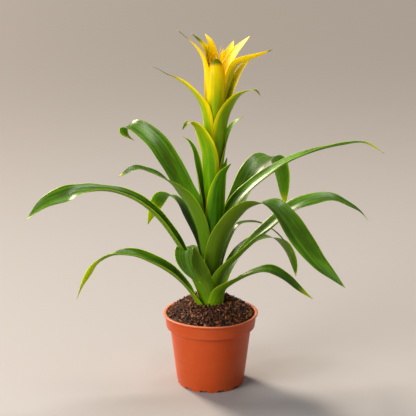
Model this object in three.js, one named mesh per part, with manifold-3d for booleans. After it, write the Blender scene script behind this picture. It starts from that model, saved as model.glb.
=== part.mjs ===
// A potted bromeliad: a rosette of strap leaves round a short stem, with a spike of bracts that
// turn from green to yellow, in heaped potting soil in a 12 cm plastic nursery pot.
// Millimetres, +Z up. The origin is the centre of the underside of the pot, on the surface it
// stands on. Azimuths are in degrees, counter-clockwise from +X seen from above; the front of
// the plant faces -Y.
import * as THREE from "three";
import { mergeVertices } from "three/addons/utils/BufferGeometryUtils.js";
import Module from "manifold-3d";

const wasm = await Module();
wasm.setup();

// ---------------------------------------------------------------- driving dimensions

const GAP = 0.3; // clearance between pieces that rest on each other

const POT = {
  height: 93.6,
  lipRadius: 60, // outside of the rounded lip
  lipHeight: 2.4,
  collarTopRadius: 57.5,
  collarFootRadius: 56.3,
  collarFoot: 75, // height of the collar's lower edge
  bodyTopRadius: 51.5, // under the collar
  footRadius: 42.6,
  wall: 1.5,
  floor: 4, // height of the inside floor
  recess: 2, // depth of the ring-shaped hollow in the underside
  padRadius: 15, // flat pad in the middle of the underside
  footWidth: 3.4,
  segments: 48,
};

// The drainage notches in the pot's foot; each cutter stands out past the wall by `proud`.
const NOTCH = { count: 12, firstAzimuth: 18, width: 9.3, height: 2.6, depth: 7.4, proud: 2 };
const DRAIN = { count: 8, ring: 27, radius: 4, sides: 10 };

const SOIL = {
  rimHeight: 90.5, // where the heap meets the pot's wall
  heapHeight: 107, // beside the plant
  holeRadius: 24, // plain hole that the plant stands in
  holeFloor: 94,
  slope: 1.7, // how suddenly the heap falls away towards the rim
  bulge: { height: 4.2, x: -3, y: 30, spread: 420 }, // heaped higher at the back
  lump: 1.5, // height of the coarse crumbs
  sectors: 44,
  rings: 9,
};

const PLANT = {
  lean: 0.02, // sideways lean of the whole plant towards +X, per millimetre of height
  leanFrom: 106,
  firstRing: 8, // radius of the innermost ring of leaf sheaths
  ringPitch: 1.75,
  turnSpan: 0.55, // share of a blade's length over which a turned foot comes round to its azimuth
};

const STEM = {
  radius: 6.5,
  neck: 330, // height where it starts to narrow
  shoulder: 380,
  shoulderRadius: 3.6,
  tipRim: 389,
  tipRadius: 2.6,
  top: 392,
  sides: 14,
};
const LEAF = { thickness: 1.1, rows: 26 };
const BRACT = { thickness: 1.0, rows: 13 };
const COLUMNS = 4; // cells across a blade
const WIDEST_WRAP = 80; // degrees that a sheath may wrap to each side

// ---------------------------------------------------------------- the plant's blades

// Each leaf: its azimuth, how far its foot is turned from it, the ring of sheaths it starts in,
// then the line of its midrib as [distance from the stem's axis, height, sideways], its widths at
// the foot and at its widest, where along it that is, how bluntly it ends, and cup and twist in
// degrees at equal steps.
const LEAVES = [
  {
    name: "leaf_left_high", azimuth: 142, ring: 1, foot: 16, width: 33, widest: 0.75, point: 3.0,
    path: [[8.3, 130], [9.6, 165], [14.5, 200], [27, 225], [49, 250], [70, 276], [92, 299],
      [114, 312], [133, 318], [146.5, 314], [146, 305.5], [138, 301.5], [130, 298.5]],
    cup: [40, 40, 38, 34, 26, 20], twist: [0, -5, -15, -20, -15, -10],
  },
  {
    name: "leaf_right_high", azimuth: 10, ring: 1, foot: 13, width: 28, widest: 0.48, point: 2.3,
    path: [[8.3, 130], [10.3, 170], [15.5, 203], [27, 230], [50, 254], [73, 271], [99, 286],
      [132, 297], [163, 303], [191, 305], [219, 290]],
    cup: [40, 44, 46, 42, 34, 24], twist: [0, 8, 14, 8, -5, -18, -20],
  },
  {
    name: "leaf_right_rear", azimuth: 48, ring: 2, foot: 19, width: 31, widest: 0.6, point: 3.2,
    path: [[10.1, 125], [12.5, 160], [21, 190], [38, 216], [60, 247], [75, 265], [91, 275],
      [107, 278], [124, 272], [135, 252], [147.5, 204]],
    cup: [40, 34, 30, 26, 24, 20], twist: [0, 0, 6, 10, -5, -20],
  },
  {
    name: "leaf_left_mid", azimuth: 207, ring: 2, foot: 21, width: 28, widest: 0.5, point: 3.0,
    path: [[10, 130], [12, 168], [18, 206], [30, 234], [46, 256], [68, 274], [87, 284],
      [104, 290], [126, 281]],
    cup: [40, 34, 30, 26, 24, 20], twist: [0, 0, 16, 15, -10, -26],
  },
  {
    name: "leaf_front_right", azimuth: -42, turn: -34, ring: 3,
    foot: 25, width: 32, widest: 0.68, point: 2.3,
    path: [[9.8, 135, -6.7], [12.1, 162, -8], [17.1, 184, -9], [25.6, 204, -8.5], [40, 223, -7.5],
      [54, 237, -5.5], [74, 247, -2.5], [93, 249], [112, 238], [137, 214], [164, 191], [203, 170]],
    cup: [50, 44, 36, 26, 22, 20], twist: [0, 0, -4, -10, -12, 6, 18, 20, 16],
  },
  {
    name: "leaf_left_rear", azimuth: 150, ring: 3, foot: 16, width: 27, widest: 0.72, point: 2.2,
    path: [[11.8, 125], [13.2, 152], [18, 179], [32, 208], [47, 228], [61, 237], [72, 236],
      [80, 225], [96, 194]],
    cup: [40, 40, 36, 30, 24, 20], twist: [0, 0, 0, 0, 0, 20, 30, 20],
  },
  {
    name: "leaf_right_thin", azimuth: 30, ring: 3, foot: 12, width: 12, widest: 0.4, point: 1.8,
    path: [[11.8, 130], [14.5, 155], [25, 186], [38, 203], [55, 204], [74, 199], [94, 186],
      [110, 170], [125, 150]],
    cup: [40, 34, 30, 26, 24, 20], twist: [0, 0, 0, 0, 0, 0],
  },
  {
    name: "leaf_left_long", azimuth: 192, turn: 13, ring: 4,
    foot: 24, width: 30, widest: 0.68, point: 2.2,
    path: [[17.5, 128, 3.5], [28.5, 154, 3.5], [39.7, 177, 2], [63.5, 213], [80, 231], [96, 243.5],
      [121, 255], [142, 258.5], [164, 258], [185, 254], [208, 245], [230, 225]],
    cup: [30, 40, 68, 55, 40, 20, 16],
    twist: [0, -4, -10, -18, -20, -16, -10, -4, 0, -10, -40, -42, -30],
  },
  {
    name: "leaf_right_back_low", azimuth: 42, ring: 6, foot: 18, width: 22, widest: 0.6, point: 2.8,
    path: [[17.4, 110], [20.5, 125], [30, 144], [46, 161], [67, 171], [87, 174], [106, 171],
      [125, 161], [142, 142], [151.5, 124], [157, 106]],
    cup: [40, 34, 30, 26, 24, 20], twist: [0, 0, 0, 0, -8, -14],
  },
  {
    name: "leaf_right_mid", azimuth: -12, turn: -48, ring: 5,
    foot: 26, width: 31, widest: 0.62, point: 1.6,
    path: [[10.4, 117, -11.2], [12.4, 135, -12.8], [19, 150, -13.8], [29, 163, -14.5],
      [40, 175, -13.5], [53, 189, -10], [71, 206, -5], [99, 232], [124, 244.5], [146, 249],
      [167, 241.5], [181, 234.5], [192, 223]],
    cup: [50, 55, 58, 42, 24, 18], twist: [0, 2, 9, 15, 18, 18, 24, 6, -10],
  },
  {
    name: "leaf_left_low", azimuth: 190, turn: 18, ring: 7,
    foot: 28, width: 28, widest: 0.3, point: 2.1,
    path: [[19.4, 108, 6.4], [26, 119.5, 7], [34.2, 131, 6], [46.4, 143.6, 4], [63, 156, 1.5],
      [79, 165], [95, 172], [112, 175], [128, 173], [144, 163.5], [153.5, 151], [161, 138],
      [169, 119]],
    cup: [30, 44, 58, 50, 36, 28, 20], twist: [0, -16, -18, -14, -4, 22, 48, 40],
  },
  {
    name: "leaf_back_high", azimuth: 97, ring: 5, foot: 24, width: 28, widest: 0.5, point: 2.4,
    path: [[15.5, 115], [19.5, 145], [30, 170], [48, 194], [72, 211], [98, 217], [124, 210],
      [146, 188], [160, 158]],
    cup: [40, 34, 30, 26, 24, 20], twist: [0, 0, 0, 0, 0, 0],
  },
  {
    name: "leaf_front_folded", azimuth: 263, ring: 6, foot: 25, width: 27, widest: 0.58, point: 1.4,
    path: [[18.2, 112, -0.5], [20.7, 127, -3.6], [24, 145, -10.2], [28.5, 162, -17.5], [33, 176, -24.7],
      [37.5, 186, -28.5], [40.8, 178, -29.9], [42, 163, -24.8], [40.6, 151, -16.4], [38, 143, -7.4]],
    cup: [34, 32, 24, 16, 12, 12], twist: [0, 0, 0, 0, 0, 0],
  },
  {
    name: "leaf_right_low", azimuth: -18, turn: -52, ring: 7,
    foot: 23, width: 26, widest: 0.5, point: 2.0,
    path: [[11.9, 104, -14.7], [14, 114, -15.4], [17, 123, -16.3], [22, 130, -17], [32, 138, -17],
      [44.5, 146, -14], [58, 152.5, -9], [74.5, 156, -4], [94, 148], [114, 134.5], [132, 124]],
    cup: [32, 44, 46, 36, 26, 20], twist: [0, 0, 0, 0, 10, 14, 8],
  },
  {
    name: "leaf_back_low", azimuth: 112, ring: 6, foot: 22, width: 22, widest: 0.45, point: 2.2,
    path: [[17.4, 105], [24, 122], [42, 142], [64, 154], [88, 155], [110, 143], [128, 122]],
    cup: [40, 34, 30, 26, 24, 20], twist: [0, 0, 0, 0, 0, 0],
  },
];

// Each bract of the spike: its colour, where on the stem it starts, then as for the leaves.
const BRACTS = [
  {
    name: "bract_front_green", tint: "green", azimuth: 284, start: 165,
    foot: 20, width: 28, widest: 0.45, point: 1.9,
    path: [[11, 195], [14, 225, 1], [17, 255, 2], [21, 277, 6], [25, 290, 16]],
    cup: [36, 36, 30, 20], twist: [0, 0, 0],
  },
  {
    name: "bract_right_rear_green", tint: "green", azimuth: 40, start: 192,
    foot: 18, width: 24, widest: 0.45, point: 1.9,
    path: [[11, 217], [14, 245], [17, 270], [22, 291]],
    cup: [36, 36, 30, 20], twist: [0, 0, 0],
  },
  {
    name: "bract_left_rear_green", tint: "green", azimuth: 160, start: 200,
    foot: 18, width: 26, widest: 0.4, point: 1.9,
    path: [[13, 232], [18, 258], [22.5, 283], [27, 302], [34.5, 313], [42.5, 316]],
    cup: [36, 36, 30, 20], twist: [0, 0, 0],
  },
  {
    name: "bract_front_left", tint: "green", azimuth: 239, start: 218,
    foot: 20, width: 29, widest: 0.42, point: 1.7,
    path: [[10.5, 248], [13, 278], [17, 303], [26, 324, -2], [37, 338, -5], [46, 343, -9],
      [54, 333, -13]],
    cup: [36, 36, 30, 20], twist: [0, 0, 0],
  },
  {
    name: "bract_back_green", tint: "green", azimuth: 95, start: 226,
    foot: 18, width: 24, widest: 0.4, point: 1.9,
    path: [[10.5, 252], [13, 278], [17, 302], [25, 322], [38, 334]],
    cup: [36, 36, 30, 20], twist: [0, 0, 0],
  },
  {
    name: "bract_right", tint: "green", azimuth: 5, start: 238,
    foot: 18, width: 25, widest: 0.45, point: 1.8,
    path: [[10, 265], [12, 290], [14.5, 312], [20.5, 330], [29, 340], [36, 343]],
    cup: [36, 40, 36, 26], twist: [0, 8, 14, 10],
  },
  {
    name: "bract_front_right", tint: "lime", azimuth: -44, start: 262,
    foot: 19, width: 29, widest: 0.42, point: 1.6,
    path: [[10, 288], [13, 315], [17, 340], [24, 357], [36, 371], [48, 378], [60, 382], [67, 381],
      [73, 375]],
    cup: [36, 36, 30, 20], twist: [0, 0, 0],
  },
  {
    name: "bract_back_left", tint: "lime", azimuth: 130, start: 262,
    foot: 18, width: 22, widest: 0.4, point: 1.8,
    path: [[10, 288], [13, 315], [17, 338], [24, 354]],
    cup: [36, 36, 30, 20], twist: [0, 0, 0],
  },
  {
    name: "bract_left_yellow", tint: "lime", azimuth: 206, start: 272,
    foot: 18, width: 28, widest: 0.33, point: 1.9,
    path: [[10, 298], [12, 321], [14, 342], [19, 360], [29, 374], [42, 386], [56, 395], [64, 398],
      [73, 404], [83, 408]],
    cup: [36, 36, 30, 20], twist: [0, 0, 0],
  },
  {
    name: "bract_back_right", tint: "lime", azimuth: 62, start: 282,
    foot: 18, width: 22, widest: 0.4, point: 1.8,
    path: [[10, 305], [13, 332], [18, 356], [28, 374], [42, 384]],
    cup: [36, 36, 30, 20], twist: [0, 0, 0],
  },
];

// The bracts of the head, in the order in which they leave the stem, and what most of them share.
const HEAD_BRACT = {
  tint: "yellow", foot: 14, width: 24, widest: 0.5, point: 2.0, cup: [34, 34, 32, 26], twist: [0, 0],
};
const HEAD_BRACTS = [
  { azimuth: 16, start: 298, foot: 12, width: 20,
    path: [[10.2, 323], [14, 350], [18.5, 372], [27, 391], [36, 405], [44, 413]],
    twist: [0, 14, 28, 28] },
  { azimuth: 108, start: 303, foot: 12, width: 21,
    path: [[10.2, 328], [13, 354], [18, 378], [28, 396], [44, 408]] },
  { azimuth: 274, start: 302, foot: 12, width: 23, widest: 0.66, point: 5,
    path: [[10.9, 329], [14.2, 352], [16.9, 378], [15.2, 400], [9.5, 416]] },
  { azimuth: 202, start: 317, width: 17, point: 1.5,
    path: [[9.7, 342], [10.9, 366], [12.2, 390], [16, 411], [23.6, 425], [34, 436], [50, 449]] },
  { azimuth: -11, turn: -35, start: 319, foot: 9, width: 20, widest: 0.66, point: 1.2,
    path: [[8.2, 340, -4], [11, 362, -2.8], [17.4, 383, -2.2], [21.8, 400, -3.8], [27, 408.5, -5],
      [36, 412.5, -4.4], [48, 417, -3], [69, 426]],
    twist: [0, 0, -8, -24, -30, -24] },
  { azimuth: 58, start: 325, foot: 12, width: 25,
    path: [[9.5, 348], [12, 372], [17, 394], [27, 414], [42.5, 433]] },
  { azimuth: 150, start: 336, point: 1.7,
    path: [[9, 353], [9.4, 380], [10.6, 404], [15, 424], [24, 434], [34.6, 442]] },
  { azimuth: -62, start: 335, foot: 7, width: 8, path: [[9, 356], [9, 378], [9, 396], [9.5, 408]] },
  { azimuth: 225, start: 346, foot: 8, width: 10, path: [[8, 362], [8, 380], [8.2, 400], [9, 413]] },
  { azimuth: 24, start: 342, width: 26, point: 2.8,
    path: [[8.5, 362], [11, 384], [17, 403], [28, 421], [46, 440]] },
  { azimuth: 114, start: 347, width: 18, point: 1.4,
    path: [[7.8, 367], [8, 391], [9, 412], [17, 431], [33.6, 441]] },
  { azimuth: 42, start: 358, foot: 8, width: 9, path: [[6.5, 374], [6.5, 390], [7.2, 408], [12.5, 426]] },
  { azimuth: 187, start: 356, foot: 10, width: 12, path: [[6.6, 374], [6.6, 394], [7.6, 410], [10, 424]] },
  { azimuth: -14, start: 362, foot: 6, width: 8, path: [[5.2, 380], [5, 398], [5.3, 414], [6, 431]] },
  { azimuth: 110, start: 370, foot: 5, width: 7, path: [[4.7, 384], [4.5, 398], [4.5, 410], [5, 420]] },
];

// ---------------------------------------------------------------- materials

const finish = (color, roughness) => new THREE.MeshStandardMaterial({ color, roughness, metalness: 0 });
const MATERIALS = {
  pot: finish(0xbe5229, 0.5),
  soil: finish(0x3c281a, 0.95),
  stem: finish(0x7f9a2c, 0.55),
  leaf: finish(0x3f7420, 0.35),
};
const BRACT_MATERIALS = {
  green: finish(0x5f9a1c, 0.4),
  lime: finish(0x9dbd12, 0.42),
  yellow: finish(0xf0c80e, 0.45),
};

// ---------------------------------------------------------------- small helpers

const UP = new THREE.Vector3(0, 0, 1);
const radians = THREE.MathUtils.degToRad;
const clamp = THREE.MathUtils.clamp;
const smoothstep = (x) => THREE.MathUtils.smoothstep(x, 0, 1);

// A list of values at equal steps, read at t from 0 to 1 with smooth turns between them.
function along(values, t) {
  const place = clamp(t, 0, 1) * (values.length - 1);
  const step = Math.min(Math.floor(place), values.length - 2);
  return THREE.MathUtils.lerp(values[step], values[step + 1], smoothstep(place - step));
}

function solidFrom(geometry) {
  const bare = geometry.clone();
  bare.deleteAttribute("normal");
  bare.deleteAttribute("uv");
  const merged = mergeVertices(bare, 1e-4);
  return new wasm.Manifold(
    new wasm.Mesh({
      numProp: 3,
      vertProperties: new Float32Array(merged.attributes.position.array),
      triVerts: new Uint32Array(merged.index.array),
    }),
  );
}

function geometryFrom(solid) {
  const made = solid.getMesh();
  const points = new Float32Array(made.numVert * 3);
  for (let i = 0; i < made.numVert; i++) {
    points.set(made.vertProperties.subarray(i * made.numProp, i * made.numProp + 3), i * 3);
  }
  const geometry = new THREE.BufferGeometry();
  geometry.setAttribute("position", new THREE.BufferAttribute(points, 3));
  geometry.setIndex(new THREE.BufferAttribute(new Uint32Array(made.triVerts), 1));
  return geometry;
}

// A geometry from a list of points and the triangles between them.
function geometryOf(points, triangles) {
  const geometry = new THREE.BufferGeometry();
  const numbers = points.flatMap((point) => point.toArray());
  geometry.setAttribute("position", new THREE.Float32BufferAttribute(numbers, 3));
  geometry.setIndex(triangles.flat());
  geometry.computeVertexNormals();
  return geometry;
}

// Lathe geometry turns about Y, and its profile runs upwards on the outside; +Z is up here.
function turned(profile, segments) {
  const lathe = new THREE.LatheGeometry(profile.map(([r, z]) => new THREE.Vector2(r, z)), segments);
  return lathe.rotateX(Math.PI / 2);
}

// The lean of the plant is a shear, so pieces that are clear of each other stay clear.
function leaning(geometry) {
  const shear = new THREE.Matrix4().makeShear(0, 0, 0, 0, PLANT.lean, 0);
  return geometry.applyMatrix4(shear).translate(-PLANT.lean * PLANT.leanFrom, 0, 0);
}

function named(name, geometry, material) {
  const mesh = new THREE.Mesh(geometry, material.clone());
  mesh.name = name;
  return mesh;
}

// ---------------------------------------------------------------- pot

function potProfile() {
  const p = POT;
  const lipFoot = p.height - p.lipHeight;
  const soften = 0.8; // rounding of the lip
  const draft = 1; // slope of the walls of the hollow underneath
  const bodyRadiusAt = (z) => THREE.MathUtils.lerp(p.footRadius, p.bodyTopRadius, z / p.collarFoot);
  return [
    [0, 0],
    [p.padRadius, 0],
    [p.padRadius + draft, p.recess],
    [p.footRadius - p.footWidth - draft, p.recess],
    [p.footRadius - p.footWidth, 0],
    [p.footRadius, 0],
    [p.bodyTopRadius, p.collarFoot],
    [p.collarFootRadius, p.collarFoot],
    [p.collarTopRadius, lipFoot],
    [p.lipRadius - soften, lipFoot],
    [p.lipRadius, lipFoot + soften],
    [p.lipRadius, p.height - soften],
    [p.lipRadius - soften, p.height],
    [p.collarTopRadius - p.wall + soften, p.height],
    [p.collarTopRadius - p.wall, p.height - soften],
    [p.collarFootRadius - p.wall, p.collarFoot + p.wall],
    [p.bodyTopRadius - p.wall, p.collarFoot + p.wall],
    [bodyRadiusAt(p.floor) - p.wall, p.floor],
    [0, p.floor],
  ];
}

function makePot() {
  let pot = solidFrom(turned(potProfile(), POT.segments));
  for (let i = 0; i < NOTCH.count; i++) {
    const azimuth = radians(NOTCH.firstAzimuth + (360 * i) / NOTCH.count);
    const notch = new THREE.BoxGeometry(NOTCH.depth, NOTCH.width, 2 * NOTCH.height);
    notch.translate(POT.footRadius + NOTCH.proud - NOTCH.depth / 2, 0, 0).rotateZ(azimuth);
    pot = pot.subtract(solidFrom(notch));
  }
  for (let i = 0; i < DRAIN.count; i++) {
    const azimuth = (2 * Math.PI * (i + 0.5)) / DRAIN.count;
    const drain = new THREE.CylinderGeometry(DRAIN.radius, DRAIN.radius, 4 * POT.floor, DRAIN.sides);
    drain.rotateX(Math.PI / 2).translate(DRAIN.ring, 0, POT.floor).rotateZ(azimuth);
    pot = pot.subtract(solidFrom(drain));
  }
  return named("pot", geometryFrom(pot), MATERIALS.pot);
}

// ---------------------------------------------------------------- soil

// Coarse crumbs: a few crossed waves, so that the relief is the same on every run.
function crumb(x, y) {
  return (
    Math.sin(0.61 * x + 0.23 * y) * Math.cos(0.57 * y - 0.19 * x) +
    0.7 * Math.sin(1.13 * x - 0.71 * y + 1.7) * Math.cos(0.97 * y + 0.43 * x + 0.6)
  );
}

function soilHeight(r, x, y) {
  const outward = (r - SOIL.holeRadius) / (POT.collarTopRadius - POT.wall - SOIL.holeRadius);
  const fall = Math.pow(clamp(outward, 0, 1), SOIL.slope);
  const heap = THREE.MathUtils.lerp(SOIL.heapHeight, SOIL.rimHeight, fall);
  const { bulge } = SOIL;
  const distance = (x - bulge.x) ** 2 + (y - bulge.y) ** 2;
  return heap + bulge.height * Math.exp(-distance / bulge.spread) + SOIL.lump * crumb(x, y);
}

function makeSoil() {
  const wallRadius = (z) => {
    const taper = THREE.MathUtils.lerp(POT.footRadius, POT.bodyTopRadius, z / POT.collarFoot);
    return taper - POT.wall - GAP;
  };
  const ledge = POT.collarFoot + POT.wall + GAP;
  const collarRadius = POT.collarFootRadius - POT.wall - GAP;
  const sideRings = [
    [collarRadius, ledge],
    [wallRadius(ledge), ledge],
    [wallRadius(POT.floor + GAP), POT.floor + GAP],
  ];
  const points = [];
  const ring = (radius, heightAt) => {
    const first = points.length;
    for (let k = 0; k < SOIL.sectors; k++) {
      const angle = (2 * Math.PI * k) / SOIL.sectors;
      const x = radius * Math.cos(angle);
      const y = radius * Math.sin(angle);
      points.push(new THREE.Vector3(x, y, heightAt(x, y)));
    }
    return first;
  };
  const rings = [ring(SOIL.holeRadius, () => SOIL.holeFloor)];
  rings.push(ring(SOIL.holeRadius, () => SOIL.heapHeight));
  for (let i = 1; i <= SOIL.rings; i++) {
    const radius = THREE.MathUtils.lerp(SOIL.holeRadius, collarRadius, i / SOIL.rings);
    rings.push(ring(radius, (x, y) => soilHeight(radius, x, y)));
  }
  for (const [radius, z] of sideRings) rings.push(ring(radius, () => z));
  const triangles = [];
  for (let i = 0; i + 1 < rings.length; i++) {
    for (let k = 0; k < SOIL.sectors; k++) {
      const next = (k + 1) % SOIL.sectors;
      const [a, b] = [rings[i] + k, rings[i] + next];
      const [c, d] = [rings[i + 1] + k, rings[i + 1] + next];
      triangles.push([a, c, d], [a, d, b]);
    }
  }
  const middle = points.push(new THREE.Vector3(0, 0, SOIL.holeFloor)) - 1;
  const bottom = points.push(new THREE.Vector3(0, 0, POT.floor + GAP)) - 1;
  const last = rings[rings.length - 1];
  for (let k = 0; k < SOIL.sectors; k++) {
    const next = (k + 1) % SOIL.sectors;
    triangles.push([middle, rings[0] + k, rings[0] + next], [bottom, last + next, last + k]);
  }
  return named("potting_soil", geometryOf(points, triangles), MATERIALS.soil);
}

// ---------------------------------------------------------------- stem

function makeStem() {
  const foot = SOIL.holeFloor + GAP;
  const profile = [
    [0, foot],
    [STEM.radius, foot],
    [STEM.radius, STEM.neck],
    [STEM.shoulderRadius, STEM.shoulder],
    [STEM.tipRadius, STEM.tipRim],
    [0, STEM.top],
  ];
  return named("stem", leaning(turned(profile, STEM.sides)), MATERIALS.stem);
}

function stemRadiusAt(z) {
  const above = clamp((z - STEM.neck) / (STEM.shoulder - STEM.neck), 0, 1);
  return THREE.MathUtils.lerp(STEM.radius, STEM.shoulderRadius, above);
}

// ---------------------------------------------------------------- blades

function bladeWidth(blade, t) {
  if (t < blade.widest) {
    return THREE.MathUtils.lerp(blade.foot, blade.width, smoothstep(t / blade.widest));
  }
  const beyond = (t - blade.widest) / (1 - blade.widest);
  return blade.width * (1 - Math.pow(beyond, blade.point));
}

// A blade is an arched strip: across its midrib it is part of a circle, which wraps round the
// stem at its foot and opens to its own cup further out. It is thickest along the midrib and
// its two faces meet at the edges and at the tip.
function bladeGeometry(blade, path, thickness, rows) {
  const azimuth = radians(blade.azimuth);
  const footTurn = radians(blade.turn ?? 0);
  const place = ([r, z, side = 0]) =>
    new THREE.Vector3(r, side, z).applyAxisAngle(UP, azimuth);
  const midrib = new THREE.CatmullRomCurve3(path.map(place), false, "centripetal");
  const points = [];
  for (let i = 0; i < rows; i++) {
    const t = i / rows;
    const centre = midrib.getPointAt(t);
    const tangent = midrib.getTangentAt(t);
    const facing = azimuth + footTurn * (1 - smoothstep(t / PLANT.turnSpan));
    const sideways = new THREE.Vector3(-Math.sin(facing), Math.cos(facing), 0);
    const upper = new THREE.Vector3().crossVectors(tangent, sideways).normalize();
    const across = new THREE.Vector3().crossVectors(upper, tangent);
    const twist = radians(along(blade.twist, t));
    upper.applyAxisAngle(tangent, twist);
    across.applyAxisAngle(tangent, twist);
    const width = bladeWidth(blade, t);
    const wrap = Math.min(width / (2 * Math.hypot(centre.x, centre.y)), radians(WIDEST_WRAP));
    const half = Math.max(wrap, radians(along(blade.cup, t)));
    const radius = width / (2 * half);
    const at = (u, side) => {
      const lens = side * (thickness / 2) * Math.sqrt(1 - u * u);
      const angle = u * half;
      return centre
        .clone()
        .addScaledVector(across, (radius - lens) * Math.sin(angle))
        .addScaledVector(upper, radius - (radius - lens) * Math.cos(angle));
    };
    for (let j = 0; j <= COLUMNS; j++) points.push(at(-1 + (2 * j) / COLUMNS, 1));
    for (let j = COLUMNS - 1; j > 0; j--) points.push(at(-1 + (2 * j) / COLUMNS, -1));
  }
  const round = 2 * COLUMNS;
  const triangles = [];
  const upperAt = (row, j) => row * round + j;
  const lowerAt = (row, j) => row * round + ((round - j) % round);
  for (let i = 0; i + 1 < rows; i++) {
    for (let j = 0; j < COLUMNS; j++) {
      const [a, b, c, d] = [upperAt(i, j), upperAt(i, j + 1), upperAt(i + 1, j), upperAt(i + 1, j + 1)];
      triangles.push([a, d, b], [a, c, d]);
      const [e, f, g, h] = [lowerAt(i, j), lowerAt(i, j + 1), lowerAt(i + 1, j), lowerAt(i + 1, j + 1)];
      triangles.push([e, f, h], [e, h, g]);
    }
  }
  const tip = points.push(midrib.getPointAt(1)) - 1;
  for (let j = 0; j < COLUMNS; j++) {
    triangles.push([upperAt(rows - 1, j + 1), upperAt(rows - 1, j), tip]);
    triangles.push([lowerAt(rows - 1, j), lowerAt(rows - 1, j + 1), tip]);
  }
  for (let j = 0; j < COLUMNS; j++) {
    if (j > 0) triangles.push([upperAt(0, j), upperAt(0, j + 1), lowerAt(0, j)]);
    if (j < COLUMNS - 1) triangles.push([upperAt(0, j + 1), lowerAt(0, j + 1), lowerAt(0, j)]);
  }
  return leaning(geometryOf(points, triangles));
}

// The first point of a blade's midrib, which its foot's turn moves round the stem.
function footOf(blade, radius, z) {
  const turn = radians(blade.turn ?? 0);
  return [radius * Math.cos(turn), z, radius * Math.sin(turn)];
}

function makeLeaf(leaf) {
  const radius = PLANT.firstRing + PLANT.ringPitch * (leaf.ring - 1);
  const path = [footOf(leaf, radius, SOIL.holeFloor + GAP), ...leaf.path];
  return named(leaf.name, bladeGeometry(leaf, path, LEAF.thickness, LEAF.rows), MATERIALS.leaf);
}

function makeBract(bract) {
  const seat = stemRadiusAt(bract.start) + GAP + BRACT.thickness / 2;
  const path = [footOf(bract, seat, bract.start), ...bract.path];
  const geometry = bladeGeometry(bract, path, BRACT.thickness, BRACT.rows);
  return named(bract.name, geometry, BRACT_MATERIALS[bract.tint]);
}

// ---------------------------------------------------------------- the whole plant

const bromeliad = new THREE.Group();
bromeliad.add(makePot(), makeSoil(), makeStem());
for (const leaf of LEAVES) bromeliad.add(makeLeaf(leaf));
for (const bract of BRACTS) bromeliad.add(makeBract(bract));
HEAD_BRACTS.forEach((bract, i) => {
  bromeliad.add(makeBract({ ...HEAD_BRACT, ...bract, name: "head_bract_" + (i + 1) }));
});

export default bromeliad;
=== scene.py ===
"""A potted bromeliad, dressed for rendering: the finished look of its packed construction model.

The construction model gives the place and size of every piece. Each piece here stands for one of
its nodes, in finer mesh and with its own finish, or is small stuff lying on the soil. The file is
laid out as an add-on: property groups hold the sizes and colours, an operator makes each piece or
group of like pieces, and a panel lists them. Lengths are written in millimetres times MM, because
Blender works in metres. Azimuths are in degrees, counter-clockwise from +X seen from above.
"""

import math

import bpy
import bmesh
import numpy as np
from mathutils import Matrix, Vector


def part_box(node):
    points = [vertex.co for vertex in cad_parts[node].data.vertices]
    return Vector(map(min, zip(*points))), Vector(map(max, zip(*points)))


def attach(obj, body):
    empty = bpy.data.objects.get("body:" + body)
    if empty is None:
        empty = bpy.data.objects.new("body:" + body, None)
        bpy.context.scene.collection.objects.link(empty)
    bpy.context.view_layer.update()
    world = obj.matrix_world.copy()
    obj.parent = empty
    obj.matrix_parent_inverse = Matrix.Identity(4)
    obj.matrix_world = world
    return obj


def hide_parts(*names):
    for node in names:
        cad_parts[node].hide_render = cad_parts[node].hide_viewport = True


bl_info = {
    "name": "Potted Bromeliad",
    "version": (1, 0, 0),
    "blender": (4, 5, 0),
    "location": "View3D > Sidebar > Bromeliad",
    "description": "Finished pieces and a studio for a bromeliad in a plastic nursery pot",
    "category": "Add Mesh",
}

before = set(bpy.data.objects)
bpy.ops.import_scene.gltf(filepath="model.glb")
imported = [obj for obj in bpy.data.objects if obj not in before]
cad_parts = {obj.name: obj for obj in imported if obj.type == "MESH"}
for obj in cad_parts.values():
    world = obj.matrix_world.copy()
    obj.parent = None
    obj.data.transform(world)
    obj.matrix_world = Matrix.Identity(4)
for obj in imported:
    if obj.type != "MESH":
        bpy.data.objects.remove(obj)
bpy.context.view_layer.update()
BODY = "root"
MM = 0.001

# ---------------------------------------------------------------- sizes

POT_LOW, POT_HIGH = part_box("pot")
STEM_LOW, STEM_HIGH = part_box("stem")

COLLAR_FOOT = 75 * MM  # height of the collar's lower edge
COLLAR_FOOT_RADIUS = 56.3 * MM
COLLAR_TOP_RADIUS = 57.5 * MM
BODY_TOP_RADIUS = 51.5 * MM
FOOT_RADIUS = 42.6 * MM
POT_FLOOR = 4 * MM  # height of the floor inside it
POT_SIDES = 240
NOTCHES = dict(count=12, first=18, width=9.3 * MM, height=2.6 * MM, depth=7.4 * MM, proud=2 * MM)
DRAINS = dict(count=8, ring=27 * MM, radius=4 * MM, depth=16 * MM)

HOLE_RADIUS = 15 * MM  # the heap closes in on the leaves' feet as far as this
HEAP_TOP = 24 * MM  # the heap falls away from here outwards
HEAP_SLOPE = 1.7  # more than 1 makes it fall away faster and faster
BULGE = dict(height=4.2 * MM, x=-3 * MM, y=30 * MM, spread=420 * MM * MM)  # behind the plant
LUMPS = 0.9 * MM  # height of the waves in the heap's surface
GRAIN = 0.35 * MM  # typical height of its random roughness
HEAP_SECTORS = 260
HEAP_RINGS = 60
WALL_GAP = 1.8 * MM  # from the soil to the outside of the pot's wall
SOIL_FLOOR = 4.3 * MM  # height of its underside, just clear of the pot's floor

# Half lengths of the smallest and the largest bits.
CRUMB_SIZES = (0.5 * MM, 0.4 * MM, 0.35 * MM), (3.2 * MM, 1.9 * MM, 1.5 * MM)
CHIP_SIZES = (1.4 * MM, 0.6 * MM, 0.3 * MM), (5.6 * MM, 2.3 * MM, 0.9 * MM)

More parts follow.
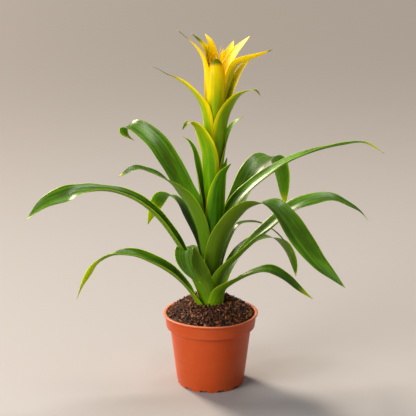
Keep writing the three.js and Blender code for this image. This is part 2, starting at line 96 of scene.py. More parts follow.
# How far the loose bits and the fibres stay from the outside of the pot's wall.
BITS_MARGIN = 3.4 * MM
FIBRES_MARGIN = 4 * MM

LEAN = 0.02  # sideways lean of the whole plant towards +X, per metre of height
LEAN_FROM = 106 * MM

# The plant's stem and its blades, which are its leaves and bracts. The lengths and heights of
# these, down to the studio, are in millimetres without MM.
FIRST_RING = 8  # radius of the innermost ring of leaf sheaths
RING_PITCH = 1.75  # from one ring to the next
SHEATH_FOOT = 94.3  # height at which the leaves start
BRACT_SEAT = 0.8  # from the stem's surface to the middle of a bract's foot
TURN_SPAN = 0.55  # share of a blade's length over which a turned foot comes round to its azimuth
WIDEST_WRAP = math.radians(80)  # how far a sheath may wrap to each side
TIP_THINNING = 0.45  # share of its thickness that a blade loses by its tip
WAVES = 4  # in each edge of a blade
WAVELENGTHS = (30, 110)
WAVES_SET_IN = 0.25  # share of a blade's length over which its edges' waves grow to their height
ROW_STEP = 2.2  # between the rows of points along a blade
LEAST_ROWS = 24  # along the shortest blade
AGED_BY = 1.02  # where along a blade its end would have turned in full, just past its point
HALF_COLUMNS = 7  # cells from a blade's midrib to its edge
CURVE_STEPS = 40  # between two points of a path, before its even steps are measured off
SMOOTHINGS = 4  # passes that soften the bends of a midrib

# Radius and height of the stem where its taper starts, half way and where it ends.
STEM_TAPER = [(6.5, 330), (5.2, 355), (3.6, 380)]
STEM_SIDES = 48

# First seeds of the waves in the bracts' edges. The leaves' start from 0.
SPIKE_SEED = 50
HEAD_SEED = 80

# The studio, in metres.
FLOOR_RADIUS = 14
FLOOR_SIDES = 96
PLANT_MIDDLE = (0, 0, 0.24)

# ---------------------------------------------------------------- the plant's blades

# Each leaf: its azimuth, the ring of sheaths that it starts in, its widths at its foot and at its
# widest, where along it that is, and how bluntly it ends. Its path is the line of its midrib, as
# [distance from the stem's axis, height, sideways]. LEAF holds what it has where it says nothing
# else: turn is how far its foot is turned from its azimuth, aged is where along it its end starts
# to turn yellow, ripe is how fresh a green its underside has at its foot and at its tip, from 0,
# dull, to 1, and cup and twist are degrees at equal steps along it.
LEAF = dict(turn=0, aged=0.94, ripe=(0, 0), cup=(40, 34, 30, 26, 24, 20), twist=(0, 0))
LEAVES = [
    dict(
        name="leaf_left_high", azimuth=142, ring=1, foot=16,
        width=33, widest=0.75, point=3.0, aged=0.9, ripe=(0.3, 0.9),
        path=[[8.3, 130], [9.6, 165], [14.5, 200], [27, 225], [49, 250], [70, 276], [92, 299],
            [114, 312], [133, 318], [146.5, 314], [146, 305.5], [138, 301.5], [130, 298.5]],
        cup=(40, 40, 38, 34, 26, 20), twist=(0, -5, -15, -20, -15, -10),
    ),
    dict(
        name="leaf_right_high", azimuth=10, ring=1, foot=13,
        width=28, widest=0.48, point=2.3, aged=0.84, ripe=(0.2, 0.8),
        path=[[8.3, 130], [10.3, 170], [15.5, 203], [27, 230], [50, 254], [73, 271], [99, 286],
            [132, 297], [163, 303], [191, 305], [219, 290]],
        cup=(40, 44, 46, 42, 34, 24), twist=(0, 8, 14, 8, -5, -18, -20),
    ),
    dict(
        name="leaf_right_rear", azimuth=48, ring=2, foot=19,
        width=31, widest=0.6, point=3.2, aged=0.9, ripe=(0.3, 1.0),
        path=[[10.1, 125], [12.5, 160], [21, 190], [38, 216], [60, 247], [75, 265], [91, 275],
            [107, 278], [124, 272], [135, 252], [147.5, 204]],
        twist=(0, 0, 6, 10, -5, -20),
    ),
    dict(
        name="leaf_left_mid", azimuth=207, ring=2, foot=21,
        width=28, widest=0.5, point=3.0, ripe=(0.7, 0.2),
        path=[[10, 130], [12, 168], [18, 206], [30, 234], [46, 256], [68, 274], [87, 284],
            [104, 290], [126, 281]],
        twist=(0, 0, 16, 15, -10, -26),
    ),
    dict(
        name="leaf_front_right", azimuth=-42, turn=-34, ring=3, foot=25,
        width=32, widest=0.68, point=2.3, aged=0.97, ripe=(0.5, 0.2),
        path=[[9.8, 135, -6.7], [12.1, 162, -8], [17.1, 184, -9], [25.6, 204, -8.5],
            [40, 223, -7.5], [54, 237, -5.5], [74, 247, -2.5], [93, 249], [112, 238], [137, 214],
            [164, 191], [203, 170]],
        cup=(50, 44, 36, 26, 22, 20), twist=(0, 0, -4, -10, -12, 6, 18, 20, 16),
    ),
    dict(
        name="leaf_left_rear", azimuth=150, ring=3, foot=16,
        width=27, widest=0.72, point=2.2, aged=0.76, ripe=(0.2, 1.0),
        path=[[11.8, 125], [13.2, 152], [18, 179], [32, 208], [47, 228], [61, 237], [72, 236],
            [80, 225], [96, 194]],
        cup=(40, 40, 36, 30, 24, 20), twist=(0, 0, 0, 0, 0, 20, 30, 20),
    ),
    dict(
        name="leaf_right_thin", azimuth=30, ring=3, foot=12, width=12, widest=0.4, point=1.8,
        path=[[11.8, 130], [14.5, 155], [25, 186], [38, 203], [55, 204], [74, 199], [94, 186],
            [110, 170], [125, 150]],
    ),
    dict(
        name="leaf_left_long", azimuth=192, turn=13, ring=4, foot=24,
        width=30, widest=0.68, point=2.2, aged=0.95, ripe=(0.5, 0.3),
        path=[[17.5, 128, 3.5], [28.5, 154, 3.5], [39.7, 177, 2], [63.5, 213], [80, 231],
            [96, 243.5], [121, 255], [142, 258.5], [164, 258], [185, 254], [208, 245], [230, 225]],
        cup=(30, 40, 68, 55, 40, 20, 16),
        twist=(0, -4, -10, -18, -20, -16, -10, -4, 0, -10, -40, -42, -30),
    ),
    dict(
        name="leaf_right_back_low", azimuth=42, ring=6, foot=18,
        width=22, widest=0.6, point=2.8, ripe=(0.3, 0.6),
        path=[[17.4, 110], [20.5, 125], [30, 144], [46, 161], [67, 171], [87, 174], [106, 171],
            [125, 161], [142, 142], [151.5, 124], [157, 106]],
        twist=(0, 0, 0, 0, -8, -14),
    ),
    dict(
        name="leaf_right_mid", azimuth=-12, turn=-48, ring=5, foot=26,
        width=31, widest=0.62, point=1.6, ripe=(0.6, 0.5),
        path=[[10.4, 117, -11.2], [12.4, 135, -12.8], [19, 150, -13.8], [29, 163, -14.5],
            [40, 175, -13.5], [53, 189, -10], [71, 206, -5], [99, 232], [124, 244.5], [146, 249],
            [167, 241.5], [181, 234.5], [192, 223]],
        cup=(50, 55, 58, 42, 24, 18), twist=(0, 2, 9, 15, 18, 18, 24, 6, -10),
    ),
    dict(
        name="leaf_left_low", azimuth=190, turn=18, ring=7, foot=28,
        # Its early aged and its ripe of 1 at the tip paint its outer part a bright yellow lime:
        # partly its yellowing end, partly painted light standing for light shining through the leaf
        # where it lies in shade.
        width=28, widest=0.3, point=2.1, aged=0.56, ripe=(0.0, 1.0),
        path=[[19.4, 108, 6.4], [26, 119.5, 7], [34.2, 131, 6], [46.4, 143.6, 4], [63, 156, 1.5],
            [79, 165], [95, 172], [112, 175], [128, 173], [144, 163.5], [153.5, 151], [161, 138],
            [169, 119]],
        cup=(30, 44, 58, 50, 36, 28, 20), twist=(0, -16, -18, -14, -4, 22, 48, 40),
    ),
    dict(
        name="leaf_back_high", azimuth=97, ring=5, foot=24, width=28, widest=0.5, point=2.4,
        path=[[15.5, 115], [19.5, 145], [30, 170], [48, 194], [72, 211], [98, 217], [124, 210],
            [146, 188], [160, 158]],
    ),
    dict(
        name="leaf_front_folded", azimuth=263, ring=6, foot=25,
        width=27, widest=0.58, point=1.4, ripe=(0.6, 0.5),
        path=[[18.2, 112, -0.5], [20.7, 127, -3.6], [24, 145, -10.2], [28.5, 162, -17.5],
            [33, 176, -24.7], [37.5, 186, -28.5], [40.8, 178, -29.9], [42, 163, -24.8],
            [40.6, 151, -16.4], [38, 143, -7.4]],
        cup=(34, 32, 24, 16, 12, 12),
    ),
    dict(
        name="leaf_right_low", azimuth=-18, turn=-52, ring=7, foot=23,
        width=26, widest=0.5, point=2.0, aged=0.8, ripe=(0.6, 0.6),
        path=[[11.9, 104, -14.7], [14, 114, -15.4], [17, 123, -16.3], [22, 130, -17],
            [32, 138, -17], [44.5, 146, -14], [58, 152.5, -9], [74.5, 156, -4], [94, 148],
            [114, 134.5], [132, 124]],
        cup=(32, 44, 46, 36, 26, 20), twist=(0, 0, 0, 0, 10, 14, 8),
    ),
    dict(
        name="leaf_back_low", azimuth=112, ring=6, foot=22, width=22, widest=0.45, point=2.2,
        path=[[17.4, 105], [24, 122], [42, 142], [64, 154], [88, 155], [110, 143], [128, 122]],
    ),
]

# The bracts of the spike are given in the same way. Each has the height on the stem where it
# starts. Its ripe is its colour at its foot and at its tip, from 0, green, to 1, gold, and its
# aged is where along it its green tip starts.
BRACT = dict(turn=0, aged=0.94, cup=(36, 36, 30, 20), twist=(0, 0))
BRACTS = [
    dict(
        name="bract_front_green", ripe=(0.0, 0.14), azimuth=284, start=165, foot=20,
        width=28, widest=0.45, point=1.9,
        path=[[11, 195], [14, 225, 1], [17, 255, 2], [21, 277, 6], [25, 290, 16]],
    ),
    dict(
        name="bract_right_rear_green", ripe=(0.05, 0.15), azimuth=40, start=192, foot=18,
        width=24, widest=0.45, point=1.9, aged=0.9,
        path=[[11, 217], [14, 245], [17, 270], [22, 291]],
    ),
    dict(
        name="bract_left_rear_green", ripe=(0.05, 0.15), azimuth=160, start=200, foot=18,
        width=26, widest=0.4, point=1.9,
        path=[[13, 232], [18, 258], [22.5, 283], [27, 302], [34.5, 313], [42.5, 316]],
    ),
    dict(
        name="bract_front_left", ripe=(0.18, 0.44), azimuth=239, start=218, foot=20,
        width=29, widest=0.42, point=1.7, aged=0.86,
        path=[[10.5, 248], [13, 278], [17, 303], [26, 324, -2], [37, 338, -5], [46, 343, -9],
            [54, 333, -13]],
    ),
    dict(
        name="bract_back_green", ripe=(0.1, 0.3), azimuth=95, start=226, foot=18,
        width=24, widest=0.4, point=1.9,
        path=[[10.5, 252], [13, 278], [17, 302], [25, 322], [38, 334]],
    ),
    dict(
        name="bract_right", ripe=(0.08, 0.22), azimuth=5, start=238, foot=18,
        width=25, widest=0.45, point=1.8,
        path=[[10, 265], [12, 290], [14.5, 312], [20.5, 330], [29, 340], [36, 343]],
        cup=(36, 40, 36, 26), twist=(0, 8, 14, 10),
    ),
    dict(
        name="bract_front_right", ripe=(0.3, 0.44), azimuth=-44, start=262, foot=19,
        width=29, widest=0.42, point=1.6, aged=0.84,
        path=[[10, 288], [13, 315], [17, 340], [24, 357], [36, 371], [48, 378], [60, 382],
            [67, 381], [73, 375]],
    ),
    dict(
        name="bract_back_left", ripe=(0.3, 0.45), azimuth=130, start=262, foot=18,
        width=22, widest=0.4, point=1.8,
        path=[[10, 288], [13, 315], [17, 338], [24, 354]],
    ),
    dict(
        name="bract_left_yellow", ripe=(0.3, 0.62), azimuth=206, start=272, foot=18,
        width=28, widest=0.33, point=1.9, aged=0.72,
        path=[[10, 298], [12, 321], [14, 342], [19, 360], [29, 374], [42, 386], [56, 395],
            [64, 398], [73, 404], [83, 408]],
    ),
    dict(
        name="bract_back_right", ripe=(0.4, 0.6), azimuth=62, start=282, foot=18,
        width=22, widest=0.4, point=1.8,
        path=[[10, 305], [13, 332], [18, 356], [28, 374], [42, 384]],
    ),
]

# The bracts of the head are given as those of the spike, in the order in which they leave the stem.
HEAD_BRACT = dict(
    turn=0, aged=0.94, ripe=(0.6, 0.84), foot=14, width=24, widest=0.5, point=2.0,
    cup=(34, 34, 32, 26), twist=(0, 0),
)
HEAD_BRACTS = [
    dict(
        azimuth=16, start=298, foot=12, width=20, ripe=(0.4, 0.66),
        path=[[10.2, 323], [14, 350], [18.5, 372], [27, 391], [36, 405], [44, 413]],
        twist=(0, 14, 28, 28),
    ),
    dict(
        azimuth=108, start=303, foot=12, width=21,
        path=[[10.2, 328], [13, 354], [18, 378], [28, 396], [44, 408]],
    ),
    dict(
        azimuth=274, start=302, foot=12,
        width=23, widest=0.66, point=5, ripe=(0.02, 0.88), aged=0.86,
        path=[[10.9, 329], [14.2, 352], [16.9, 378], [15.2, 400], [9.5, 416]],
    ),
    dict(
        azimuth=202, start=317, width=17, point=1.5, ripe=(0.6, 0.8), aged=0.78,
        path=[[9.7, 342], [10.9, 366], [12.2, 390], [16, 411], [23.6, 425], [34, 436], [50, 449]],
    ),
    dict(
        azimuth=-11, turn=-35, start=319, foot=9,
        width=20, widest=0.66, point=1.2, ripe=(0.45, 0.82), aged=0.9,
        path=[[8.2, 340, -4], [11, 362, -2.8], [17.4, 383, -2.2], [21.8, 400, -3.8],
            [27, 408.5, -5], [36, 412.5, -4.4], [48, 417, -3], [69, 426]],
        twist=(0, 0, -8, -24, -30, -24),
    ),
    dict(
        azimuth=58, start=325, foot=12, width=25, ripe=(0.6, 0.78),
        path=[[9.5, 348], [12, 372], [17, 394], [27, 414], [42.5, 433]],
    ),
    dict(
        azimuth=150, start=336, point=1.7, ripe=(0.5, 0.72), aged=0.76,
        path=[[9, 353], [9.4, 380], [10.6, 404], [15, 424], [24, 434], [34.6, 442]],
    ),
    dict(
        azimuth=-62, start=335, foot=7, width=8,
        path=[[9, 356], [9, 378], [9, 396], [9.5, 408]],
    ),
    dict(
        azimuth=225, start=346, foot=8, width=10,
        path=[[8, 362], [8, 380], [8.2, 400], [9, 413]],
    ),
    dict(
        azimuth=24, start=342, width=26, point=2.8, ripe=(0.68, 0.82),
        path=[[8.5, 362], [11, 384], [17, 403], [28, 421], [46, 440]],
    ),
    dict(
        azimuth=114, start=347, width=18, point=1.4, ripe=(0.6, 0.88),
        path=[[7.8, 367], [8, 391], [9, 412], [17, 431], [33.6, 441]],
    ),
    dict(
        azimuth=42, start=358, foot=8, width=9,
        path=[[6.5, 374], [6.5, 390], [7.2, 408], [12.5, 426]],
    ),
    dict(
        azimuth=187, start=356, foot=10, width=12,
        path=[[6.6, 374], [6.6, 394], [7.6, 410], [10, 424]],
    ),
    dict(
        azimuth=-14, start=362, foot=6, width=8,
        path=[[5.2, 380], [5, 398], [5.3, 414], [6, 431]],
    ),
    dict(
        azimuth=110, start=370, foot=5, width=7,
        path=[[4.7, 384], [4.5, 398], [4.5, 410], [5, 420]],
    ),
]


# ---------------------------------------------------------------- colours


def srgb(code):
    """The linear colour of a six-digit web colour."""
    parts = [int(code[i : i + 2], 16) / 255 for i in (1, 3, 5)]
    linear = [c / 12.92 if c <= 0.04045 else ((c + 0.055) / 1.055) ** 2.4 for c in parts]
    return (*linear, 1.0)


def colour_property(name, description, code):
    """A property that holds a colour, given as a web colour."""
    return bpy.props.FloatVectorProperty(
        name=name, description=description, subtype="COLOR",
        size=4, min=0, max=1, default=srgb(code),
    )


def length_property(name, description, metres):
    """A property that holds a length."""
    return bpy.props.FloatProperty(
        name=name, description=description, unit="LENGTH", default=metres
    )


def angle_property(name, description, degrees):
    """A property that holds an angle."""
    return bpy.props.FloatProperty(
        name=name, description=description, unit="ROTATION", default=math.radians(degrees)
    )


def count_property(name, description, count):
    """A property that holds a whole number."""
    return bpy.props.IntProperty(name=name, description=description, default=count)


# ---------------------------------------------------------------- settings


class PotSettings(bpy.types.PropertyGroup):
    height: length_property("Height", "From the surface it stands on to the lip", POT_HIGH.z)
    lip_radius: length_property("Lip radius", "Outside of the rounded lip", POT_HIGH.x)
    wall: length_property("Wall", "Thickness of the moulded wall", 1.5 * MM)
    plastic: colour_property("Plastic", "Terracotta-coloured plastic", "#C44B15")
    dust: colour_property("Dust", "Pale bloom on the plastic", "#CE6A34")
    # Pale colour painted over the top millimetre of the lip, as a highlight.
    lip_highlight: colour_property("Lip highlight", "Painted highlight along the top of the lip", "#EBAE8C")
    roughness: bpy.props.FloatProperty(
        name="Roughness", description="Of the moulded plastic", subtype="FACTOR", default=0.42
    )


class SoilSettings(bpy.types.PropertyGroup):
    heap_height: length_property("Heap", "Height of the soil beside the plant", 107 * MM)
    rim_height: length_property("Edge", "Height of the soil at the pot's wall", 90.5 * MM)
    crumbs: count_property("Crumbs", "Number of loose crumbs", 2300)
    chips: count_property("Chips", "Number of bark chips", 620)
    fibres: count_property("Fibres", "Number of coarse fibres", 120)
    seed: count_property("Seed", "Of the places of crumbs, chips and fibres", 7)
    dark: colour_property("Dark", "Wet peat", "#150C07")
    brown: colour_property("Brown", "Peat and bark", "#643820")
    tan: colour_property("Tan", "Broken bark", "#B8703A")
    splinter: colour_property("Splinter", "Palest broken wood", "#D2A270")


class LeafSettings(bpy.types.PropertyGroup):
    thickness: length_property("Thickness", "Along the middle of a leaf", 1.0 * MM)
    ripple: length_property("Ripple", "Height of the waves in a leaf's edges", 0.45 * MM)
    deep: colour_property("Deep green", "Middle of a leaf", "#234A02")
    bright: colour_property("Bright green", "Streaks and young growth", "#569200")
    sheath: colour_property("Sheath", "Foot of a leaf", "#84B004")
    edge: colour_property("Edge", "Thin margin of a leaf", "#B2BE2C")
    under: colour_property("Underside", "Dull side of a leaf", "#56640C")
    ageing: colour_property("Ageing tip", "Last part of a leaf", "#B4C008")
    dry: colour_property("Dry point", "Point of a leaf", "#B08A4A")


class BractSettings(bpy.types.PropertyGroup):
    thickness: length_property("Thickness", "Along the middle of a bract", 0.9 * MM)
    ripple: length_property("Ripple", "Height of the waves in a bract's edges", 0.4 * MM)
    green: colour_property("Green", "Least ripe bracts", "#2C6002")
    grass: colour_property("Grass green", "Bracts half way up the spike", "#68A002")
    lime: colour_property("Lime", "Upper bracts of the spike", "#AEBE02")
    yellow: colour_property("Yellow", "Bracts of the head", "#FFDE00")
    gold: colour_property("Gold", "Ripest bracts, near the axis", "#F8BC00")
    tip: colour_property("Tip", "Green tips of the bracts", "#3E6606")
    dry: colour_property("Dry point", "Point of a bract", "#A98A48")


class StageSettings(bpy.types.PropertyGroup):
    camera_distance: length_property("Distance", "Level, from camera to pot's axis", 1285.8 * MM)
    camera_side: length_property("Side", "Of the camera, to the right of the axis", -3.3 * MM)
    camera_height: length_property("Height", "Of the camera above the floor", 554.3 * MM)
    camera_tilt: angle_property("Tilt", "How far the camera looks down", 14.2)
    focal_length: bpy.props.FloatProperty(
        name="Focal length", description="On a 36 mm sensor, in millimetres", default=92.6
    )
    floor: colour_property("Floor", "Plain pale floor", "#9F9C9D")
    key_strength: bpy.props.FloatProperty(
        name="Key", description="Warm light from behind at the left, per square metre", default=5
    )
    key_spread: angle_property("Key spread", "How broad the key light is", 16)
    fill_power: bpy.props.FloatProperty(
        name="Fill", description="Broad light from the front", unit="POWER", default=29
    )
    top_power: bpy.props.FloatProperty(
        name="Top", description="Narrow light above and behind", unit="POWER", default=26
    )
    sky: bpy.props.FloatProperty(name="Sky", description="Even light from all round", default=0.22)


# ---------------------------------------------------------------- finishes


class Wire:
    """A socket among a finish's nodes. Sums on it add the Math nodes that work them out."""

    def __init__(self, finish, socket):
        self.finish = finish
        self.socket = socket

    def maths(self, operation, *values):
        """The result of a Math node."""
        settings = {"operation": operation}
        return self.finish.node("ShaderNodeMath", settings, dict(enumerate(values)))

    def __add__(self, other):
        return self.maths("ADD", self, other)

    def __sub__(self, other):
        return self.maths("SUBTRACT", self, other)

    def __rsub__(self, other):
        return self.maths("SUBTRACT", other, self)

    def __mul__(self, other):
        return self.maths("MULTIPLY", self, other)

    def __abs__(self):
        return self.maths("ABSOLUTE", self)

    __radd__ = __add__
    __rmul__ = __mul__


class Finish:
    """One material. Its constants stand on the shader, and its nodes vary it over the surface."""

    def __init__(self, name, constants):
        self.material = bpy.data.materials.new(name)
        self.material.use_nodes = True
        self.tree = self.material.node_tree
        self.shader = self.tree.nodes["Principled BSDF"]
        for socket, value in constants.items():
            self.shader.inputs[socket].default_value = value

    def node(self, kind, settings=None, inputs=None, output=0):
        """A node of that kind, its settings made first, its sockets given values or linked."""
        made = self.tree.nodes.new(kind)
        for key, value in (settings or {}).items():
            if key == "stops":
                elements = made.color_ramp.elements
                while len(elements) < len(value):
                    elements.new(1)
                for element, (position, colour) in zip(elements, value):
                    element.position = position
                    element.color = colour
            else:
                setattr(made, key, value)
        for socket, value in (inputs or {}).items():
            if isinstance(value, Wire):
                self.tree.links.new(value.socket, made.inputs[socket])
            else:
                made.inputs[socket].default_value = value
        return Wire(self, made.outputs[output])

    def feed(self, **wires):
        """Links wires to the shader, by the names of its sockets with _ for a space."""
        for socket, wire in wires.items():
            self.tree.links.new(wire.socket, self.shader.inputs[socket.replace("_", " ")])

    def number(self, name):
        """A number that the mesh holds at its points."""
        return self.node("ShaderNodeAttribute", {"attribute_name": name}, output="Fac")

    def place(self, name):
        """A place that the mesh holds at its points."""
        return self.node("ShaderNodeAttribute", {"attribute_name": name}, output="Vector")

    def position(self):
        """The place on the object."""
        return self.node("ShaderNodeTexCoord", output="Object")

    def noise(self, place, stretch, detail=2, seed=0):
        """Noise from 0 to 1 whose grains are 1 / stretch metres long on each axis."""
        inputs = {0: place, 1: stretch, 2: (seed, 0, 0)}
        scaled = self.node("ShaderNodeVectorMath", {"operation": "MULTIPLY_ADD"}, inputs)
        inputs = {"Vector": scaled, "Scale": 1, "Detail": detail}
        return self.node("ShaderNodeTexNoise", None, inputs)

    def rise(self, value, low, high):
        """0 below low, 1 above high, and smooth between."""
        inputs = {"Value": value, "From Min": low, "From Max": high}
        return self.node("ShaderNodeMapRange", {"interpolation_type": "SMOOTHSTEP"}, inputs)

    def mix(self, share, first, second):
        """The first colour, with that share of the second."""
        inputs = {0: share, 6: first, 7: second}
        return self.node("ShaderNodeMix", {"data_type": "RGBA"}, inputs, output=2)

    def ramp(self, value, stops):
        """The colour at a value along stops, each of them a position and a colour."""
        return self.node("ShaderNodeValToRGB", {"stops": stops}, {"Fac": value})

    def bump(self, height, depth, strength=1.0):
        """The normal of a relief that is depth metres high where height is 1."""
        inputs = {"Height": height, "Distance": depth, "Strength": strength}
        return self.node("ShaderNodeBump", None, inputs)


def translucent(name, specular, weight, depth, reach):
    """A finish that lets light through to that depth, with reach its share for each colour."""
    return Finish(name, {
        "Specular IOR Level": specular,
        "Subsurface Weight": weight,
        "Subsurface Scale": depth,
        "Subsurface Radius": reach,
    })


def blade_places(finish):
    """Places on a blade: 0 to 1 along it, 0 to 1 from midrib to edge, and on it laid flat."""
    return finish.number("along"), abs(finish.number("across")), finish.place("strip")


def with_age_and_edge(finish, blade, look, streaks, t, u, low, high):
    """A leaf's colour with its ageing end, its thin pale margin and its dry point.

    The end is coloured where its age, broken up by the streaks, rises from low to high.
    """
    aged = finish.number("aged") + (streaks - 0.5) * 0.35
    blade = finish.mix(finish.rise(aged, low, high), blade, look.ageing)
    blade = finish.mix(finish.rise(u, 0.95, 0.985) * 0.75, blade, look.edge)
    return finish.mix(finish.rise(t, 0.985, 0.997), blade, look.dry)


def leaf_top_finish(look):
    """Glossy upper side: deep green with lengthwise streaks, a pale sheath, edge and tip."""
    finish = translucent("leaf_top", 0.25, 0.45, 1.6 * MM, (0.7, 1.0, 0.1))
    t, u, strip = blade_places(finish)
    veins = finish.noise(strip, (1500, 16, 1), seed=1)
    streaks = finish.noise(strip, (330, 6, 1), seed=5)
    clouds = finish.noise(strip, (60, 22, 1), detail=3, seed=9)
    light = finish.rise(streaks * 0.5 + clouds * 0.5, 0.4, 0.66)
    blade = finish.mix(light * 0.75, look.deep, look.bright)
    blade = finish.mix(veins * 0.1, blade, look.edge)
    blade = finish.mix(finish.rise(t + clouds * 0.1, 0.3, 0.1), blade, look.sheath)
    blade = with_age_and_edge(finish, blade, look, streaks, t, u, 0.1, 0.75)
    finish.feed(Base_Color=blade, Roughness=veins * 0.1 + streaks * 0.14 + 0.2)
    finish.feed(Normal=finish.bump(veins * 0.5 + streaks * 0.5, 0.35 * MM, 0.5))
    return finish.material


def leaf_under_finish(look):
    """Dull underside: paler and more yellow, with plain parallel veins and fine scurf."""
    finish = translucent("leaf_underside", 0.16, 0.5, 1.6 * MM, (0.8, 1.0, 0.1))
    t, u, strip = blade_places(finish)
    veins = finish.noise(strip, (1100, 12, 1), seed=2)
    streaks = finish.noise(strip, (300, 5, 1), seed=7)
    scurf = finish.noise(strip, (900, 900, 1), detail=3, seed=4)
    light = finish.rise(streaks, 0.4, 0.75)
    blade = finish.mix(light * 0.35, look.under, look.bright)
    blade = finish.mix(finish.number("ripe") * 0.9, blade, look.bright)
    blade = finish.mix(finish.rise(veins, 0.5, 0.75) * 0.3, blade, look.edge)
    blade = finish.mix(finish.rise(scurf, 0.55, 0.8) * 0.25, blade, look.edge)
    blade = finish.mix(finish.rise(t + streaks * 0.1, 0.26, 0.08), blade, look.sheath)
    blade = with_age_and_edge(finish, blade, look, streaks, t, u, 0.05, 0.65)
    finish.feed(Base_Color=blade, Roughness=scurf * 0.2 + 0.42)
    finish.feed(Normal=finish.bump(veins * 0.6 + scurf * 0.4, 0.35 * MM, 0.5))
    return finish.material


def bract_finish(name, look):
    """A bract, which ripens from green to gold; its edges ripen first and its tip last."""
    finish = translucent(name, 0.12, 0.5, 1.6 * MM, (1.0, 0.9, 0.1))
    t, u, strip = blade_places(finish)
    veins = finish.noise(strip, (1500, 18, 1), seed=3)
    streaks = finish.noise(strip, (420, 9, 1), seed=6)
    clouds = finish.noise(strip, (130, 30, 1), detail=3, seed=11)
    ripe = finish.number("ripe") + (streaks - 0.5) * 0.35 + (clouds - 0.5) * 0.4
    ripe = ripe + finish.rise(u, 0.45, 1.0) * 0.28
    blade = finish.ramp(ripe, [
        (0.0, look.green),
        (0.28, look.grass),
        (0.52, look.lime),
        (0.76, look.yellow),
        (1.0, look.gold),
    ])
    blade = finish.mix(finish.rise(u, 0.9, 0.98) * 0.6, blade, look.yellow)
    blade = finish.mix(veins * 0.14, blade, look.green)
    tip = finish.number("aged") + (streaks - 0.5) * 0.45
    blade = finish.mix(finish.rise(tip, 0.08, 0.6) * 0.9, blade, look.tip)
    blade = finish.mix(finish.rise(t, 0.975, 0.995), blade, look.dry)
    finish.feed(Base_Color=blade, Roughness=veins * 0.15 + 0.34)
    finish.feed(Normal=finish.bump(veins * 0.5 + streaks * 0.5, 0.3 * MM, 0.5))
    return finish.material


def pot_finish(look):
    """Moulded plastic: satin, with faint flow marks round it, a dusty bloom and a fine grain."""
    finish = translucent("terracotta_plastic", 0.3, 0.1, 0.6 * MM, (1.0, 0.4, 0.2))
    place = finish.position()
    grain = finish.noise(place, (2200, 2200, 2200), detail=3)
    flow = finish.noise(place, (14, 14, 90), detail=4, seed=3)
    bloom = finish.noise(place, (38, 38, 26), detail=5, seed=8)
    dusty = finish.rise(bloom * 0.6 + flow * 0.4, 0.42, 0.72)
    skin = finish.mix(dusty * 0.35, look.plastic, look.dust)
    height = finish.node("ShaderNodeSeparateXYZ", None, {"Vector": place}, output=2)
    # Painted highlight: the top millimetre of the pot, round its lip, is mixed towards a pale
    # colour.
    lip_highlight = finish.rise(height, look.height - 1 * MM, look.height)
    skin = finish.mix(lip_highlight * 0.4, skin, look.lip_highlight)
    smoothest = look.roughness - 0.15
    finish.feed(Base_Color=skin, Roughness=bloom * 0.22 + grain * 0.08 + smoothest)
    finish.feed(Normal=finish.bump(grain * 0.35 + flow * 0.65, 0.12 * MM, 0.6))
    return finish.material


def soil_finish(look):
    """Damp peat: dark clods with browner ones among them, and a broken surface."""
    finish = Finish("damp_peat", {"Specular IOR Level": 0.35})
    place = finish.position()
    clods = finish.noise(place, (420, 420, 420), detail=4)
    specks = finish.noise(place, (1300, 1300, 1300), detail=3, seed=5)
    colour = finish.mix(finish.rise(clods, 0.45, 0.7), look.dark, look.brown)
    colour = finish.mix(finish.rise(specks, 0.62, 0.78) * 0.6, colour, look.tan)
    finish.feed(Base_Color=colour, Roughness=specks * 0.3 + 0.62)
    finish.feed(Normal=finish.bump(clods * 0.6 + specks * 0.4, 1.2 * MM, 0.9))
    return finish.material


def crumb_finish(name, look, low, high):
    """Loose bits of peat and bark, each of its own shade between low, dark, and high, pale."""
    finish = Finish(name, {"Specular IOR Level": 0.4})
    place = finish.position()
    shade = finish.number("shade")
    grain = finish.noise(place, (1500, 1500, 1500), detail=3)
    level = shade * (high - low) + low + (grain - 0.5) * 0.25
    colour = finish.ramp(level, [
        (0.0, look.dark),
        (0.45, look.brown),
        (0.85, look.tan),
        (1.0, look.splinter),
    ])
    finish.feed(Base_Color=colour, Roughness=grain * 0.35 + 0.5)
    finish.feed(Normal=finish.bump(grain, 0.5 * MM, 0.8))
    return finish.material


def stem_finish(look):
    """The stem's green skin, with faint rings where bracts left it."""
    finish = Finish("stem_skin", {"Specular IOR Level": 0.45})
    place = finish.position()
    rings = finish.noise(place, (20, 20, 260), detail=2)
    streaks = finish.noise(place, (500, 500, 20), detail=2, seed=4)
    pale = finish.rise(rings * 0.5 + streaks * 0.5, 0.4, 0.65)
    colour = finish.mix(pale, look.grass, look.lime)
    finish.feed(Base_Color=colour, Roughness=streaks * 0.2 + 0.4)
    finish.feed(Normal=finish.bump(rings, 0.4 * MM, 0.5))
    return finish.material


def floor_finish(colour):
    """The plain pale floor, with a trace of unevenness in its sheen."""
    finish = Finish("pale_floor", {"Base Color": colour, "Specular IOR Level": 0.3})
    wear = finish.noise(finish.position(), (6, 6, 6), detail=3)
    finish.feed(Roughness=wear * 0.15 + 0.6)
    return finish.material


# ---------------------------------------------------------------- meshes


